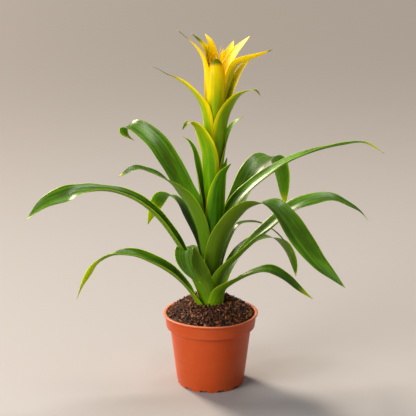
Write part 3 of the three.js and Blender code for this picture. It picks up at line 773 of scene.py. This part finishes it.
def make_piece(
    name, points, faces, materials, node=None, measures=None, looks=None, bend=None
):
    """A mesh object at the origin that rides on the plant's body, and stands for a node if given.

    measures are values at the points, by name; looks is each face's place in materials; and bend
    is the angle past which an edge stays sharp.
    """
    mesh = bpy.data.meshes.new(name)
    mesh.from_pydata(np.asarray(points).tolist(), [], [list(map(int, face)) for face in faces])
    mesh.update()
    for key, values in (measures or {}).items():
        values = np.asarray(values, np.float32)
        kind, field = ("FLOAT", "value") if values.ndim == 1 else ("FLOAT_VECTOR", "vector")
        attribute = mesh.attributes.new(key, kind, "POINT")
        attribute.data.foreach_set(field, values.ravel())
    mesh.polygons.foreach_set("use_smooth", np.ones(len(mesh.polygons), bool))
    if looks is not None:
        mesh.polygons.foreach_set("material_index", np.asarray(looks, np.int32))
    if bend is not None:
        mesh.set_sharp_from_angle(angle=bend)
    for material in materials:
        mesh.materials.append(material)
    if mesh.validate():
        raise RuntimeError(name + ": its mesh had faults")
    piece = bpy.data.objects.new(name, mesh)
    bpy.context.scene.collection.objects.link(piece)
    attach(piece, BODY)
    if node:
        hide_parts(node)
    return piece


def rings_to_faces(rings, around):
    """Quads between successive closed rings of points, facing out where the rings run upwards."""
    row = np.arange(rings - 1)[:, None] * around
    here = np.arange(around)[None, :]
    after = (here + 1) % around
    corners = (row + here, row + after, row + around + after, row + around + here)
    return np.stack(corners, axis=-1).reshape(-1, 4)


def turned(profile, sides):
    """Points and faces of a closed profile's turn about Z. It runs from the axis to the axis."""
    profile = np.array(profile, float)
    angles = np.arange(sides) * 2 * math.pi / sides
    round_part = profile[1:-1]
    x = round_part[:, :1] * np.cos(angles)
    y = round_part[:, :1] * np.sin(angles)
    z = np.repeat(round_part[:, 1:], sides, axis=1)
    points = np.stack([x, y, z], axis=-1).reshape(-1, 3)
    faces = rings_to_faces(len(round_part), sides).tolist()
    start = len(points)
    last = start - sides
    points = np.concatenate([points, [[0, 0, profile[0, 1]]], [[0, 0, profile[-1, 1]]]])
    for k in range(sides):
        after = (k + 1) % sides
        faces.append([start, after, k])
        faces.append([start + 1, last + k, last + after])
    return points, faces


def arc(centre, radius, start, end, steps):
    """Points of an arc in a profile, from one angle to another in degrees."""
    angles = np.radians(np.linspace(start, end, steps))
    return [(centre[0] + radius * math.cos(a), centre[1] + radius * math.sin(a)) for a in angles]


def smoothstep(x):
    """0 up to 0, 1 from 1, and smooth between."""
    x = np.clip(x, 0, 1)
    return x * x * (3 - 2 * x)


def along(values, t):
    """A list of values at equal steps, read at t from 0 to 1 with smooth turns between them."""
    values = np.array(values, float)
    place = np.clip(t, 0, 1) * (len(values) - 1)
    step = np.minimum(place.astype(int), len(values) - 2)
    return values[step] + (values[step + 1] - values[step]) * smoothstep(place - step)


def curve_through(path, spacing):
    """Places at even steps along the centripetal Catmull-Rom curve through the path's points."""
    path = np.array(path, float)
    held = np.concatenate([[2 * path[0] - path[1]], path, [2 * path[-1] - path[-2]]])
    u = np.linspace(0, 1, CURVE_STEPS, endpoint=False)[:, None]
    spans = []
    for a, b, c, d in zip(held, held[1:], held[2:], held[3:]):
        first, middle, last = (math.sqrt(np.linalg.norm(step)) for step in (b - a, c - b, d - c))
        leave = ((b - a) / first - (c - a) / (first + middle) + (c - b) / middle) * middle
        arrive = ((c - b) / middle - (d - b) / (middle + last) + (d - c) / last) * middle
        square = 3 * (c - b) - 2 * leave - arrive
        cube = 2 * (b - c) + leave + arrive
        spans.append(b + leave * u + square * u**2 + cube * u**3)
    curve = np.concatenate([*spans, path[-1:]])
    steps = np.linalg.norm(np.diff(curve, axis=0), axis=1)
    lengths = np.concatenate([[0], np.cumsum(steps)])
    count = max(LEAST_ROWS, round(lengths[-1] / spacing))
    even = np.linspace(0, lengths[-1], count + 1)
    places = np.stack([np.interp(even, lengths, curve[:, k]) for k in range(3)], axis=1)
    for _ in range(SMOOTHINGS):
        places[1:-1] = (places[:-2] + 2 * places[1:-1] + places[2:]) / 4
    return places, lengths[-1]


def blade_width(blade, t):
    """Width of a blade at t along it, from its foot to its widest and on to its point."""
    wide = smoothstep(t / blade["widest"])
    growing = blade["foot"] + (blade["width"] - blade["foot"]) * wide
    beyond = np.clip((t - blade["widest"]) / (1 - blade["widest"]), 0, 1)
    return np.where(t < blade["widest"], growing, blade["width"] * (1 - beyond ** blade["point"]))


def unit(vectors):
    """The vectors' directions."""
    return vectors / np.linalg.norm(vectors, axis=-1, keepdims=True)


def turned_about(vectors, axis, angle):
    """Vectors at right angles to an axis, turned about it."""
    return vectors * np.cos(angle) + np.cross(axis, vectors) * np.sin(angle)


def follow_midrib(blade, path):
    """Midpoints, tangents and places from 0 to 1 of a blade's rows, and its tip and length."""
    azimuth = math.radians(blade["azimuth"])
    outward = np.array([math.cos(azimuth), math.sin(azimuth), 0])
    aside = np.array([-math.sin(azimuth), math.cos(azimuth), 0])
    places = [outward * p[0] + aside * (p[2] if len(p) > 2 else 0) + (0, 0, p[1]) for p in path]
    centre, length = curve_through(places, ROW_STEP)
    tangent = unit(np.gradient(centre, axis=0))
    rows = len(centre) - 1
    t = (np.arange(rows) / rows)[:, None]
    return centre[:-1], tangent[:-1], t, centre[-1], length


def face_rows(blade, tangent, t):
    """Directions across a blade and out of its upper side, with its foot's turn and its twist."""
    turn = math.radians(blade["turn"]) * (1 - smoothstep(t / TURN_SPAN))
    facing = math.radians(blade["azimuth"]) + turn
    sideways = np.concatenate([-np.sin(facing), np.cos(facing), 0 * facing], axis=1)
    upper = unit(np.cross(tangent, sideways))
    across = np.cross(upper, tangent)
    twist = np.radians(along(blade["twist"], t))
    return turned_about(across, tangent, twist), turned_about(upper, tangent, twist)


def bend_rows(blade, centre, t):
    """Half angle and radius of each row's arc, which wraps the stem or has the blade's cup."""
    width = blade_width(blade, t)
    around_stem = width / (2 * np.linalg.norm(centre[:, :2], axis=1, keepdims=True))
    wrap = np.minimum(around_stem, WIDEST_WRAP)
    half = np.maximum(wrap, np.radians(along(blade["cup"], t)))
    return half, width / (2 * half)


def edge_lift(draw, ripple, length, t, u):
    """How far seeded waves lift a blade's surface, most at its two edges."""
    waves = np.zeros((len(t), u.shape[1]))
    for wavelength in draw.uniform(*WAVELENGTHS, WAVES):
        phases = draw.uniform(0, 2 * math.pi, 2)
        wave = t * length * 2 * math.pi / wavelength
        waves += np.where(u > 0, np.sin(wave + phases[0]), np.sin(wave + phases[1]))
    return ripple / 2 * waves * u * u * smoothstep(t / WAVES_SET_IN)


def blade_faces(rows, around):
    """Faces between a blade's rows, from its last row to its tip, and over its foot."""
    faces = rings_to_faces(rows, around)[:, ::-1].tolist()
    last = (rows - 1) * around
    faces += [[last + (k + 1) % around, last + k, rows * around] for k in range(around)]
    return [*faces, list(range(around))]


def make_blade(blade, path, look, materials, seed):
    """A leaf or bract: an arched strip that wraps the stem at its foot.

    Across its midrib it is part of a circle. It is thickest along the midrib, and its two faces
    meet at the edges and at the tip. It is made upright in millimetres, then leans as the plant.
    """
    centre, tangent, t, tip, length = follow_midrib(blade, path)
    across, upper = face_rows(blade, tangent, t)
    half, radius = bend_rows(blade, centre, t)
    # Round the section: over the upper face from edge to edge, then back under the lower one.
    spread = np.sin(np.linspace(-1, 1, 2 * HALF_COLUMNS + 1) * math.pi / 2)
    u = np.concatenate([spread, spread[-2:0:-1]])[None, :]
    side = np.concatenate([np.ones(len(spread)), -np.ones(len(spread) - 2)])[None, :]
    half_thickness = look.thickness / MM / 2
    lens = side * half_thickness * np.sqrt(np.clip(1 - u * u, 0, 1)) * (1 - TIP_THINNING * t)
    lift = edge_lift(np.random.default_rng(seed), look.ripple / MM, length, t, u)
    angle = u * half
    outward = radius - (radius - lens) * np.cos(angle) + lift
    points = (
        centre[:, None, :]
        + across[:, None, :] * ((radius - lens) * np.sin(angle))[..., None]
        + upper[:, None, :] * outward[..., None]
    )
    points = np.concatenate([points.reshape(-1, 3), tip[None]]) * MM
    points[:, 0] += LEAN * (points[:, 2] - LEAN_FROM)
    rows, around = angle.shape
    under = (np.arange(around) >= 2 * HALF_COLUMNS).astype(int)
    looks = np.concatenate([np.tile(under, rows), [1]])
    u = np.append(np.broadcast_to(u, (rows, around)).ravel(), 0)
    t = np.append(np.broadcast_to(t, (rows, around)).ravel(), 1)
    # The place on the blade laid flat, in metres, with its seed third so that no two look alike.
    flat = [u * blade["width"] / 2 * MM, t * length * MM, np.full(len(t), seed)]
    green, ripe = blade["ripe"]
    aged = smoothstep((t - blade["aged"]) / (AGED_BY - blade["aged"]))
    measures = {
        "along": t,
        "across": u,
        "strip": np.stack(flat, axis=1),
        "ripe": green + (ripe - green) * t,
        "aged": aged,
    }
    make_piece(
        blade["name"] + "_blade", points, blade_faces(rows, around), materials,
        blade["name"], measures, looks,
    )


def foot_of(blade, radius, z):
    """The first point of a blade's midrib, which its foot's turn moves round the stem."""
    turn = math.radians(blade["turn"])
    return [radius * math.cos(turn), z, radius * math.sin(turn)]


# ---------------------------------------------------------------- pot


def body_radius(z):
    """Outside radius of the pot's tapered body at a height."""
    return FOOT_RADIUS + (BODY_TOP_RADIUS - FOOT_RADIUS) * z / COLLAR_FOOT


def foot_outline():
    """The underside, which stands on its middle and its rim, and the set-in band above it."""
    pad = 15 * MM
    recess = 2 * MM
    slope = 1 * MM
    rim_width = 3.4 * MM
    edge = 0.7 * MM
    band_top = 5.4 * MM
    step = 0.45 * MM
    rim = FOOT_RADIUS - step
    top_radius = body_radius(band_top) - step
    return [
        (0, 0),
        (pad, 0),
        (pad + slope, recess),
        (rim - rim_width - slope, recess),
        (rim - rim_width, 0),
        *arc((rim - edge, edge), edge, -90, 0, 5),
        (top_radius, band_top),
        *arc((top_radius, band_top + step), step, -90, 0, 4),
    ]


def collar_outline(lip_z):
    """The body from half way up, and the collar that stands out above it, up to the lip."""
    body_top = COLLAR_FOOT - 2 * MM
    fillet = 1.9 * MM
    round_foot = 1.8 * MM
    return [
        (body_radius(COLLAR_FOOT / 2), COLLAR_FOOT / 2),
        (body_radius(body_top), body_top),
        *arc((BODY_TOP_RADIUS + 1.8 * MM, body_top), fillet, 180, 100, 6),
        *arc((COLLAR_FOOT_RADIUS - round_foot, COLLAR_FOOT + round_foot), round_foot, -80, 0, 8),
        (COLLAR_FOOT_RADIUS + 0.6 * MM, COLLAR_FOOT + 6 * MM),
        (COLLAR_TOP_RADIUS - 0.1 * MM, lip_z - 2.2 * MM),
        (COLLAR_TOP_RADIUS + 0.2 * MM, lip_z - 1.4 * MM),
    ]


def pot_profile(look):
    """The pot's section from the middle of its underside round the lip to its inside floor."""
    wall = look.wall
    lip_round = 1.2 * MM
    inner_round = 1 * MM
    lip_z = look.height - lip_round
    inner_r = COLLAR_TOP_RADIUS - wall
    return [
        *foot_outline(),
        *collar_outline(lip_z),
        *arc((look.lip_radius - lip_round, lip_z), lip_round, -60, 90, 10),
        *arc((inner_r + inner_round, lip_z + 0.2 * MM), inner_round, 90, 180, 6),
        (inner_r, lip_z - 3 * MM),
        (COLLAR_FOOT_RADIUS - wall, COLLAR_FOOT + wall),
        (BODY_TOP_RADIUS - wall, COLLAR_FOOT + wall),
        (body_radius(POT_FLOOR) - wall, POT_FLOOR),
        (0, POT_FLOOR),
    ]


def cut_out(piece, cutters):
    """Cuts the cutters out of the piece and removes them."""
    for cutter in cutters:
        cut = piece.modifiers.new("cut", "BOOLEAN")
        cut.operation = "DIFFERENCE"
        cut.solver = "EXACT"
        cut.object = cutter
    bpy.context.view_layer.update()
    evaluated = piece.evaluated_get(bpy.context.evaluated_depsgraph_get())
    mesh = bpy.data.meshes.new_from_object(evaluated)
    piece.modifiers.clear()
    old = piece.data
    mesh.name = old.name
    piece.data = mesh
    bpy.data.meshes.remove(old)
    for cutter in cutters:
        bpy.data.meshes.remove(cutter.data)


def cutter_from(name, build):
    """A scratch object whose mesh is filled by build, for cutting."""
    mesh = bpy.data.meshes.new(name)
    shape = bmesh.new()
    build(shape)
    shape.to_mesh(mesh)
    shape.free()
    cutter = bpy.data.objects.new(name, mesh)
    bpy.context.scene.collection.objects.link(cutter)
    return cutter


def add_notches(shape):
    """Rectangular drainage notches round the foot."""
    size = Matrix.Diagonal((NOTCHES["depth"], NOTCHES["width"], 2 * NOTCHES["height"], 1))
    middle = FOOT_RADIUS + NOTCHES["proud"] - NOTCHES["depth"] / 2
    for i in range(NOTCHES["count"]):
        azimuth = math.radians(NOTCHES["first"] + 360 * i / NOTCHES["count"])
        place = Matrix.Rotation(azimuth, 4, "Z") @ Matrix.Translation((middle, 0, 0))
        bmesh.ops.create_cube(shape, size=1, matrix=place @ size)


def add_drains(shape):
    """Round drain holes in the pot's floor."""
    for i in range(DRAINS["count"]):
        azimuth = 2 * math.pi * (i + 0.5) / DRAINS["count"]
        centre = (DRAINS["ring"], 0, POT_FLOOR)
        place = Matrix.Rotation(azimuth, 4, "Z") @ Matrix.Translation(centre)
        bmesh.ops.create_cone(
            shape, cap_ends=True, segments=28, depth=DRAINS["depth"], matrix=place,
            radius1=DRAINS["radius"], radius2=DRAINS["radius"],
        )


def make_pot(look):
    """The nursery pot: turned, slightly out of round at its lip, notched and drilled."""
    points, faces = turned(pot_profile(look), POT_SIDES)
    angle = np.arctan2(points[:, 1], points[:, 0])
    softness = smoothstep((points[:, 2] - COLLAR_FOOT) / (look.height - COLLAR_FOOT))
    outward = 0.25 * MM * np.sin(2 * angle + 0.6) + 0.12 * MM * np.sin(5 * angle + 2.0)
    upward = 0.3 * MM * np.sin(3 * angle + 1.1)
    points[:, :2] *= 1 + (softness * outward / look.lip_radius)[:, None]
    points[:, 2] += softness * upward
    pot = make_piece("nursery_pot", points, faces, [pot_finish(look)], "pot")
    cutters = [cutter_from("notch_cutter", add_notches), cutter_from("drain_cutter", add_drains)]
    cut_out(pot, cutters)
    pot.data.set_sharp_from_angle(angle=math.radians(38))


# ---------------------------------------------------------------- soil


def soil_height(x, y, look):
    """Height of the heap's surface: it falls away to the rim and is heaped higher at the back."""
    r = np.hypot(x, y)
    inside = COLLAR_TOP_RADIUS - 1.5 * MM
    outward = np.clip((r - HEAP_TOP) / (inside - HEAP_TOP), 0, 1)
    heap = look.heap_height + (look.rim_height - look.heap_height) * outward**HEAP_SLOPE
    from_bulge = (x - BULGE["x"]) ** 2 + (y - BULGE["y"]) ** 2
    bulge = BULGE["height"] * np.exp(-from_bulge / BULGE["spread"])
    # Lumps about 10 mm and 5 mm long, in radians per metre.
    waves = np.sin(610 * x + 230 * y) * np.cos(570 * y - 190 * x)
    waves += 0.7 * np.sin(1130 * x - 710 * y + 1.7) * np.cos(970 * y + 430 * x + 0.6)
    return heap + bulge + LUMPS * waves


def make_soil_heap(look):
    """The body of the soil: a fine lumpy heap on a plain plug that fills the pot."""
    angles = np.arange(HEAP_SECTORS) * 2 * math.pi / HEAP_SECTORS
    cosines = np.cos(angles)
    sines = np.sin(angles)
    floor = POT_LOW.z + SOIL_FLOOR
    ledge = COLLAR_FOOT + WALL_GAP
    corners = [
        (body_radius(floor) - WALL_GAP, floor),
        (BODY_TOP_RADIUS - WALL_GAP, ledge),
        (COLLAR_FOOT_RADIUS - WALL_GAP, ledge),
    ]
    rings = [np.stack([r * cosines, r * sines, np.full(HEAP_SECTORS, z)], -1) for r, z in corners]
    radii = np.linspace(COLLAR_TOP_RADIUS - WALL_GAP, HOLE_RADIUS, HEAP_RINGS)[:, None]
    x = radii * cosines
    y = radii * sines
    draw = np.random.default_rng(look.seed)
    z = soil_height(x, y, look) + draw.normal(0, GRAIN, x.shape)
    points = np.concatenate([*rings, np.stack([x, y, z], -1).reshape(-1, 3)])
    count = len(rings) + HEAP_RINGS
    faces = rings_to_faces(count, HEAP_SECTORS).tolist()
    top = (count - 1) * HEAP_SECTORS
    faces.append(list(range(HEAP_SECTORS))[::-1])
    faces.append(list(range(top, top + HEAP_SECTORS)))
    finish = soil_finish(look)
    make_piece("soil_heap", points, faces, [finish], "potting_soil")


def random_turns(draw, count, level):
    """Turning matrices; level from 0, any way up, to 1, lying flat and turned only about Z."""
    yaw = draw.uniform(0, 2 * math.pi, count)
    pitch, roll = draw.normal(0, 1.5 * (1 - level) + 0.15, (2, count))
    cy, sy = np.cos(yaw), np.sin(yaw)
    cp, sp = np.cos(pitch), np.sin(pitch)
    cr, sr = np.cos(roll), np.sin(roll)
    return np.stack([
        np.stack([cy * cp, cy * sp * sr - sy * cr, cy * sp * cr + sy * sr], -1),
        np.stack([sy * cp, sy * sp * sr + cy * cr, sy * sp * cr - cy * sr], -1),
        np.stack([-sp, cp * sr, cp * cr], -1),
    ], axis=1)


def make_bits(name, count, sizes, level, sunk, shades, look, seed):
    """Many loose irregular bits on the heap, as one piece.

    sizes are the least and greatest half lengths of each axis, level is how flat the bits lie,
    sunk is how much of a bit's height is under the surface, and shades is the range of its colour
    from dark to pale.
    """
    draw = np.random.default_rng(seed)
    ball = bmesh.new()
    bmesh.ops.create_icosphere(ball, subdivisions=1, radius=1)
    base = np.array([v.co[:] for v in ball.verts])
    corners = np.array([[v.index for v in face.verts] for face in ball.faces])
    ball.free()
    outer = COLLAR_TOP_RADIUS - BITS_MARGIN
    r = np.sqrt(draw.uniform(0, 1, count) * (outer**2 - HOLE_RADIUS**2) + HOLE_RADIUS**2)
    azimuth = draw.uniform(0, 2 * math.pi, count)
    x = r * np.cos(azimuth)
    y = r * np.sin(azimuth)
    least, greatest = np.array(sizes)
    size = least + draw.beta(1.4, 2.6, (count, 1)) * (greatest - least)
    size = size * draw.uniform(0.75, 1.25, (count, 3))
    lie = size[:, 2] * (1 - 2 * sunk) + draw.uniform(-0.4, 0.9, count) * MM
    z = soil_height(x, y, look) + lie
    knobs = draw.uniform(0.6, 1.3, (count, len(base), 1))
    local = base[None] * knobs * size[:, None, :]
    turned_bits = np.einsum("nij,nvj->nvi", random_turns(draw, count, level), local)
    points = turned_bits + np.stack([x, y, z], -1)[:, None, :]
    faces = (corners[None] + (np.arange(count) * len(base))[:, None, None]).reshape(-1, 3)
    shade = np.repeat(draw.beta(1.3, 1.8, count), len(base))
    finish = crumb_finish(name + "_finish", look, *shades)
    make_piece(
        name, points.reshape(-1, 3), faces, [finish],
        measures={"shade": shade}, bend=math.radians(30),
    )


def make_fibres(look):
    """Coarse fibres and splinters lying on the heap, each a thin bent rod of four sides."""
    draw = np.random.default_rng(look.seed + 4)
    steps = 6
    sides = 4
    outer = COLLAR_TOP_RADIUS - FIBRES_MARGIN
    points = []
    faces = []
    shade = []
    for _ in range(look.fibres):
        r = math.sqrt(draw.uniform(HOLE_RADIUS**2, outer**2))
        azimuth = draw.uniform(0, 2 * math.pi)
        heading = draw.uniform(0, 2 * math.pi)
        tilt = draw.normal(0.15, 0.4)
        length = draw.uniform(5, 13) * MM
        thick = draw.uniform(0.25, 0.6) * MM
        bend = draw.normal(0, 0.5)
        x = r * math.cos(azimuth)
        y = r * math.sin(azimuth)
        place = np.array([x, y, float(soil_height(x, y, look)) + 1.0 * MM])
        first = len(points)
        for i in range(steps + 1):
            share = i / steps - 0.5
            turn = heading + bend * share
            ahead = np.array([math.cos(turn), math.sin(turn), math.sin(tilt)])
            centre = place + ahead * share * length
            reach = thick * (1 - 0.6 * abs(2 * share))
            for k in range(sides):
                angle = 2 * math.pi * k / sides
                across = np.array([-math.sin(turn), math.cos(turn), 0]) * math.cos(angle)
                points.append(centre + reach * (across + np.array([0, 0, math.sin(angle)])))
        faces += (rings_to_faces(steps + 1, sides) + first).tolist()
        faces.append([first + k for k in range(sides)][::-1])
        faces.append([first + steps * sides + k for k in range(sides)])
        shade += [draw.uniform(0, 1)] * ((steps + 1) * sides)
    finish = crumb_finish("soil_fibres_finish", look, 0.35, 1.0)
    make_piece(
        "soil_fibres", points, faces, [finish],
        measures={"shade": shade}, bend=math.radians(40),
    )


# ---------------------------------------------------------------- stem, leaves and bracts


def stem_radius(z):
    """Radius of the stem at a height, both in millimetres, as if it tapered evenly."""
    wide, start = STEM_TAPER[0]
    narrow, end = STEM_TAPER[-1]
    return wide - (wide - narrow) * min(max((z - start) / (end - start), 0), 1)


def make_stem(look):
    """The stem that the leaves and bracts leave: straight, then tapered, with a rounded top."""
    foot = STEM_LOW.z
    top = STEM_HIGH.z
    dome = 2.2 * MM
    dome_centre = (0.9 * MM, top - 2.6 * MM)
    taper = [(radius * MM, height * MM) for radius, height in STEM_TAPER]
    profile = [
        (0, foot),
        (taper[0][0], foot),
        *taper,
        *arc(dome_centre, dome, 0, 80, 6),
        (0, top),
    ]
    points, faces = turned(profile, STEM_SIDES)
    points[:, 0] += LEAN * (points[:, 2] - LEAN_FROM)
    finish = stem_finish(look)
    make_piece("spike_stem", points, faces, [finish], "stem", bend=math.radians(40))


def make_leaves(look):
    """The leaves, each with its foot in its ring of sheaths."""
    materials = [leaf_top_finish(look), leaf_under_finish(look)]
    for i, entry in enumerate(LEAVES):
        leaf = {**LEAF, **entry}
        radius = FIRST_RING + RING_PITCH * (leaf["ring"] - 1)
        path = [foot_of(leaf, radius, SHEATH_FOOT), *leaf["path"]]
        make_blade(leaf, path, look, materials, i)


def make_bract(bract, look, materials, seed):
    """One bract, with its foot against the stem."""
    radius = stem_radius(bract["start"]) + BRACT_SEAT
    path = [foot_of(bract, radius, bract["start"]), *bract["path"]]
    make_blade(bract, path, look, materials, seed)


def make_spike(look):
    """The bracts that climb the stem below the head."""
    materials = [bract_finish("bract_inside", look), bract_finish("bract_outside", look)]
    for i, entry in enumerate(BRACTS):
        make_bract({**BRACT, **entry}, look, materials, SPIKE_SEED + i)


def make_head(look):
    """The bracts of the head, named by their order."""
    names = ("head_bract_inside", "head_bract_outside")
    materials = [bract_finish(name, look) for name in names]
    for i, entry in enumerate(HEAD_BRACTS):
        bract = {**HEAD_BRACT, **entry, "name": f"head_bract_{i + 1}"}
        make_bract(bract, look, materials, HEAD_SEED + i)


# ---------------------------------------------------------------- studio


def place_light(lamp, place, colour):
    """A light at a place, facing the middle of the plant."""
    lamp.color = colour
    light = bpy.data.objects.new(lamp.name, lamp)
    light.location = place
    towards = Vector(PLANT_MIDDLE) - Vector(place)
    light.rotation_euler = towards.to_track_quat("-Z", "Y").to_euler()
    bpy.context.scene.collection.objects.link(light)


def add_panel(name, place, size, power, colour):
    """A soft rectangular light."""
    lamp = bpy.data.lights.new(name, "AREA")
    lamp.shape = "RECTANGLE"
    lamp.size, lamp.size_y = size
    lamp.energy = power
    place_light(lamp, place, colour)


def add_lights(stage):
    """A warm key from behind at the left, a broad front fill, a narrow top light and a sky."""
    key = bpy.data.lights.new("key", "SUN")
    key.energy = stage.key_strength
    key.angle = stage.key_spread
    place_light(key, place=(-0.9, 1.05, 1.15), colour=(1.0, 0.86, 0.68))
    add_panel(
        "fill", place=(-1.25, -1.1, 0.95), size=(0.9, 0.9), power=stage.fill_power,
        colour=(1.0, 0.95, 0.9),
    )
    add_panel(
        "top", place=(-0.1, 0.5, 2.1), size=(1.5, 0.3), power=stage.top_power,
        colour=(1.0, 0.95, 0.88),
    )
    world = bpy.data.worlds.new("studio")
    world.use_nodes = True
    background = world.node_tree.nodes["Background"]
    background.inputs["Color"].default_value = (1.0, 0.96, 0.9, 1.0)
    background.inputs["Strength"].default_value = stage.sky
    bpy.context.scene.world = world
    bpy.context.scene.view_settings.view_transform = "Standard"


def add_floor(stage):
    """The round floor that the pot stands on."""
    angles = np.arange(FLOOR_SIDES) * 2 * math.pi / FLOOR_SIDES
    round_x = FLOOR_RADIUS * np.cos(angles)
    round_y = FLOOR_RADIUS * np.sin(angles)
    mesh = bpy.data.meshes.new("floor")
    rim = np.stack([round_x, round_y, np.zeros(FLOOR_SIDES)], -1)
    mesh.from_pydata(rim.tolist(), [], [list(range(FLOOR_SIDES))])
    mesh.materials.append(floor_finish(stage.floor))
    floor = bpy.data.objects.new("floor", mesh)
    bpy.context.scene.collection.objects.link(floor)


def add_camera(stage):
    """The camera in front of the plant, looking down on it a little."""
    lens = bpy.data.cameras.new("camera")
    lens.lens = stage.focal_length
    lens.sensor_width = 36
    lens.clip_start = 0.05
    camera = bpy.data.objects.new("camera", lens)
    camera.location = (stage.camera_side, -stage.camera_distance, stage.camera_height)
    camera.rotation_euler = (math.pi / 2 - stage.camera_tilt, 0, 0)
    bpy.context.scene.collection.objects.link(camera)
    bpy.context.scene.camera = camera


# ---------------------------------------------------------------- operators


class BROMELIAD_OT_pot(bpy.types.Operator):
    """Make the plastic nursery pot"""

    bl_idname = "bromeliad.pot"
    bl_label = "Pot"

    def execute(self, context):
        make_pot(context.scene.bromeliad_pot)
        return {"FINISHED"}


class BROMELIAD_OT_soil(bpy.types.Operator):
    """Make the heaped potting soil with its crumbs, bark chips and fibres"""

    bl_idname = "bromeliad.soil"
    bl_label = "Soil"

    def execute(self, context):
        look = context.scene.bromeliad_soil
        make_soil_heap(look)
        make_bits(
            "soil_crumbs", look.crumbs, CRUMB_SIZES, level=0.2, sunk=0.35, shades=(-0.1, 0.7),
            look=look, seed=look.seed + 1,
        )
        make_bits(
            "bark_chips", look.chips, CHIP_SIZES, level=0.5, sunk=0.2, shades=(0.1, 1.0),
            look=look, seed=look.seed + 2,
        )
        make_fibres(look)
        return {"FINISHED"}


class BROMELIAD_OT_stem(bpy.types.Operator):
    """Make the stem and the axis of the spike"""

    bl_idname = "bromeliad.stem"
    bl_label = "Stem"

    def execute(self, context):
        make_stem(context.scene.bromeliad_bract)
        return {"FINISHED"}


class BROMELIAD_OT_leaves(bpy.types.Operator):
    """Make the strap leaves of the rosette"""

    bl_idname = "bromeliad.leaves"
    bl_label = "Leaves"

    def execute(self, context):
        make_leaves(context.scene.bromeliad_leaf)
        return {"FINISHED"}


class BROMELIAD_OT_spike(bpy.types.Operator):
    """Make the bracts that climb the spike from green to lime"""

    bl_idname = "bromeliad.spike"
    bl_label = "Spike"

    def execute(self, context):
        make_spike(context.scene.bromeliad_bract)
        return {"FINISHED"}


class BROMELIAD_OT_head(bpy.types.Operator):
    """Make the yellow bracts of the head"""

    bl_idname = "bromeliad.head"
    bl_label = "Head"

    def execute(self, context):
        make_head(context.scene.bromeliad_bract)
        return {"FINISHED"}


class BROMELIAD_OT_stage(bpy.types.Operator):
    """Make the floor, the studio lights and the camera"""

    bl_idname = "bromeliad.stage"
    bl_label = "Studio"

    def execute(self, context):
        stage = context.scene.bromeliad_stage
        add_floor(stage)
        add_lights(stage)
        add_camera(stage)
        return {"FINISHED"}


# ---------------------------------------------------------------- panel and running


SETTINGS = {
    "bromeliad_pot": PotSettings,
    "bromeliad_soil": SoilSettings,
    "bromeliad_leaf": LeafSettings,
    "bromeliad_bract": BractSettings,
    "bromeliad_stage": StageSettings,
}
OPERATORS = (
    BROMELIAD_OT_pot,
    BROMELIAD_OT_soil,
    BROMELIAD_OT_stem,
    BROMELIAD_OT_leaves,
    BROMELIAD_OT_spike,
    BROMELIAD_OT_head,
    BROMELIAD_OT_stage,
)


class BROMELIAD_PT_panel(bpy.types.Panel):
    """Lists the settings and the operators that use them"""

    bl_idname = "BROMELIAD_PT_panel"
    bl_label = "Potted Bromeliad"
    bl_space_type = "VIEW_3D"
    bl_region_type = "UI"
    bl_category = "Bromeliad"

    def draw(self, context):
        for operator in OPERATORS:
            self.layout.operator(operator.bl_idname, text=operator.bl_label)
        for name, group in SETTINGS.items():
            box = self.layout.box()
            for key in group.__annotations__:
                box.prop(getattr(context.scene, name), key)


def register():
    for group in SETTINGS.values():
        bpy.utils.register_class(group)
    for operator in OPERATORS:
        bpy.utils.register_class(operator)
    bpy.utils.register_class(BROMELIAD_PT_panel)
    for name, group in SETTINGS.items():
        setattr(bpy.types.Scene, name, bpy.props.PointerProperty(type=group))


def unregister():
    for name in SETTINGS:
        delattr(bpy.types.Scene, name)
    bpy.utils.unregister_class(BROMELIAD_PT_panel)
    for operator in reversed(OPERATORS):
        bpy.utils.unregister_class(operator)
    for group in SETTINGS.values():
        bpy.utils.unregister_class(group)


def main():
    register()
    bpy.ops.bromeliad.pot()
    bpy.ops.bromeliad.soil()
    bpy.ops.bromeliad.stem()
    bpy.ops.bromeliad.leaves()
    bpy.ops.bromeliad.spike()
    bpy.ops.bromeliad.head()
    bpy.ops.bromeliad.stage()


if __name__ == "__main__":
    main()
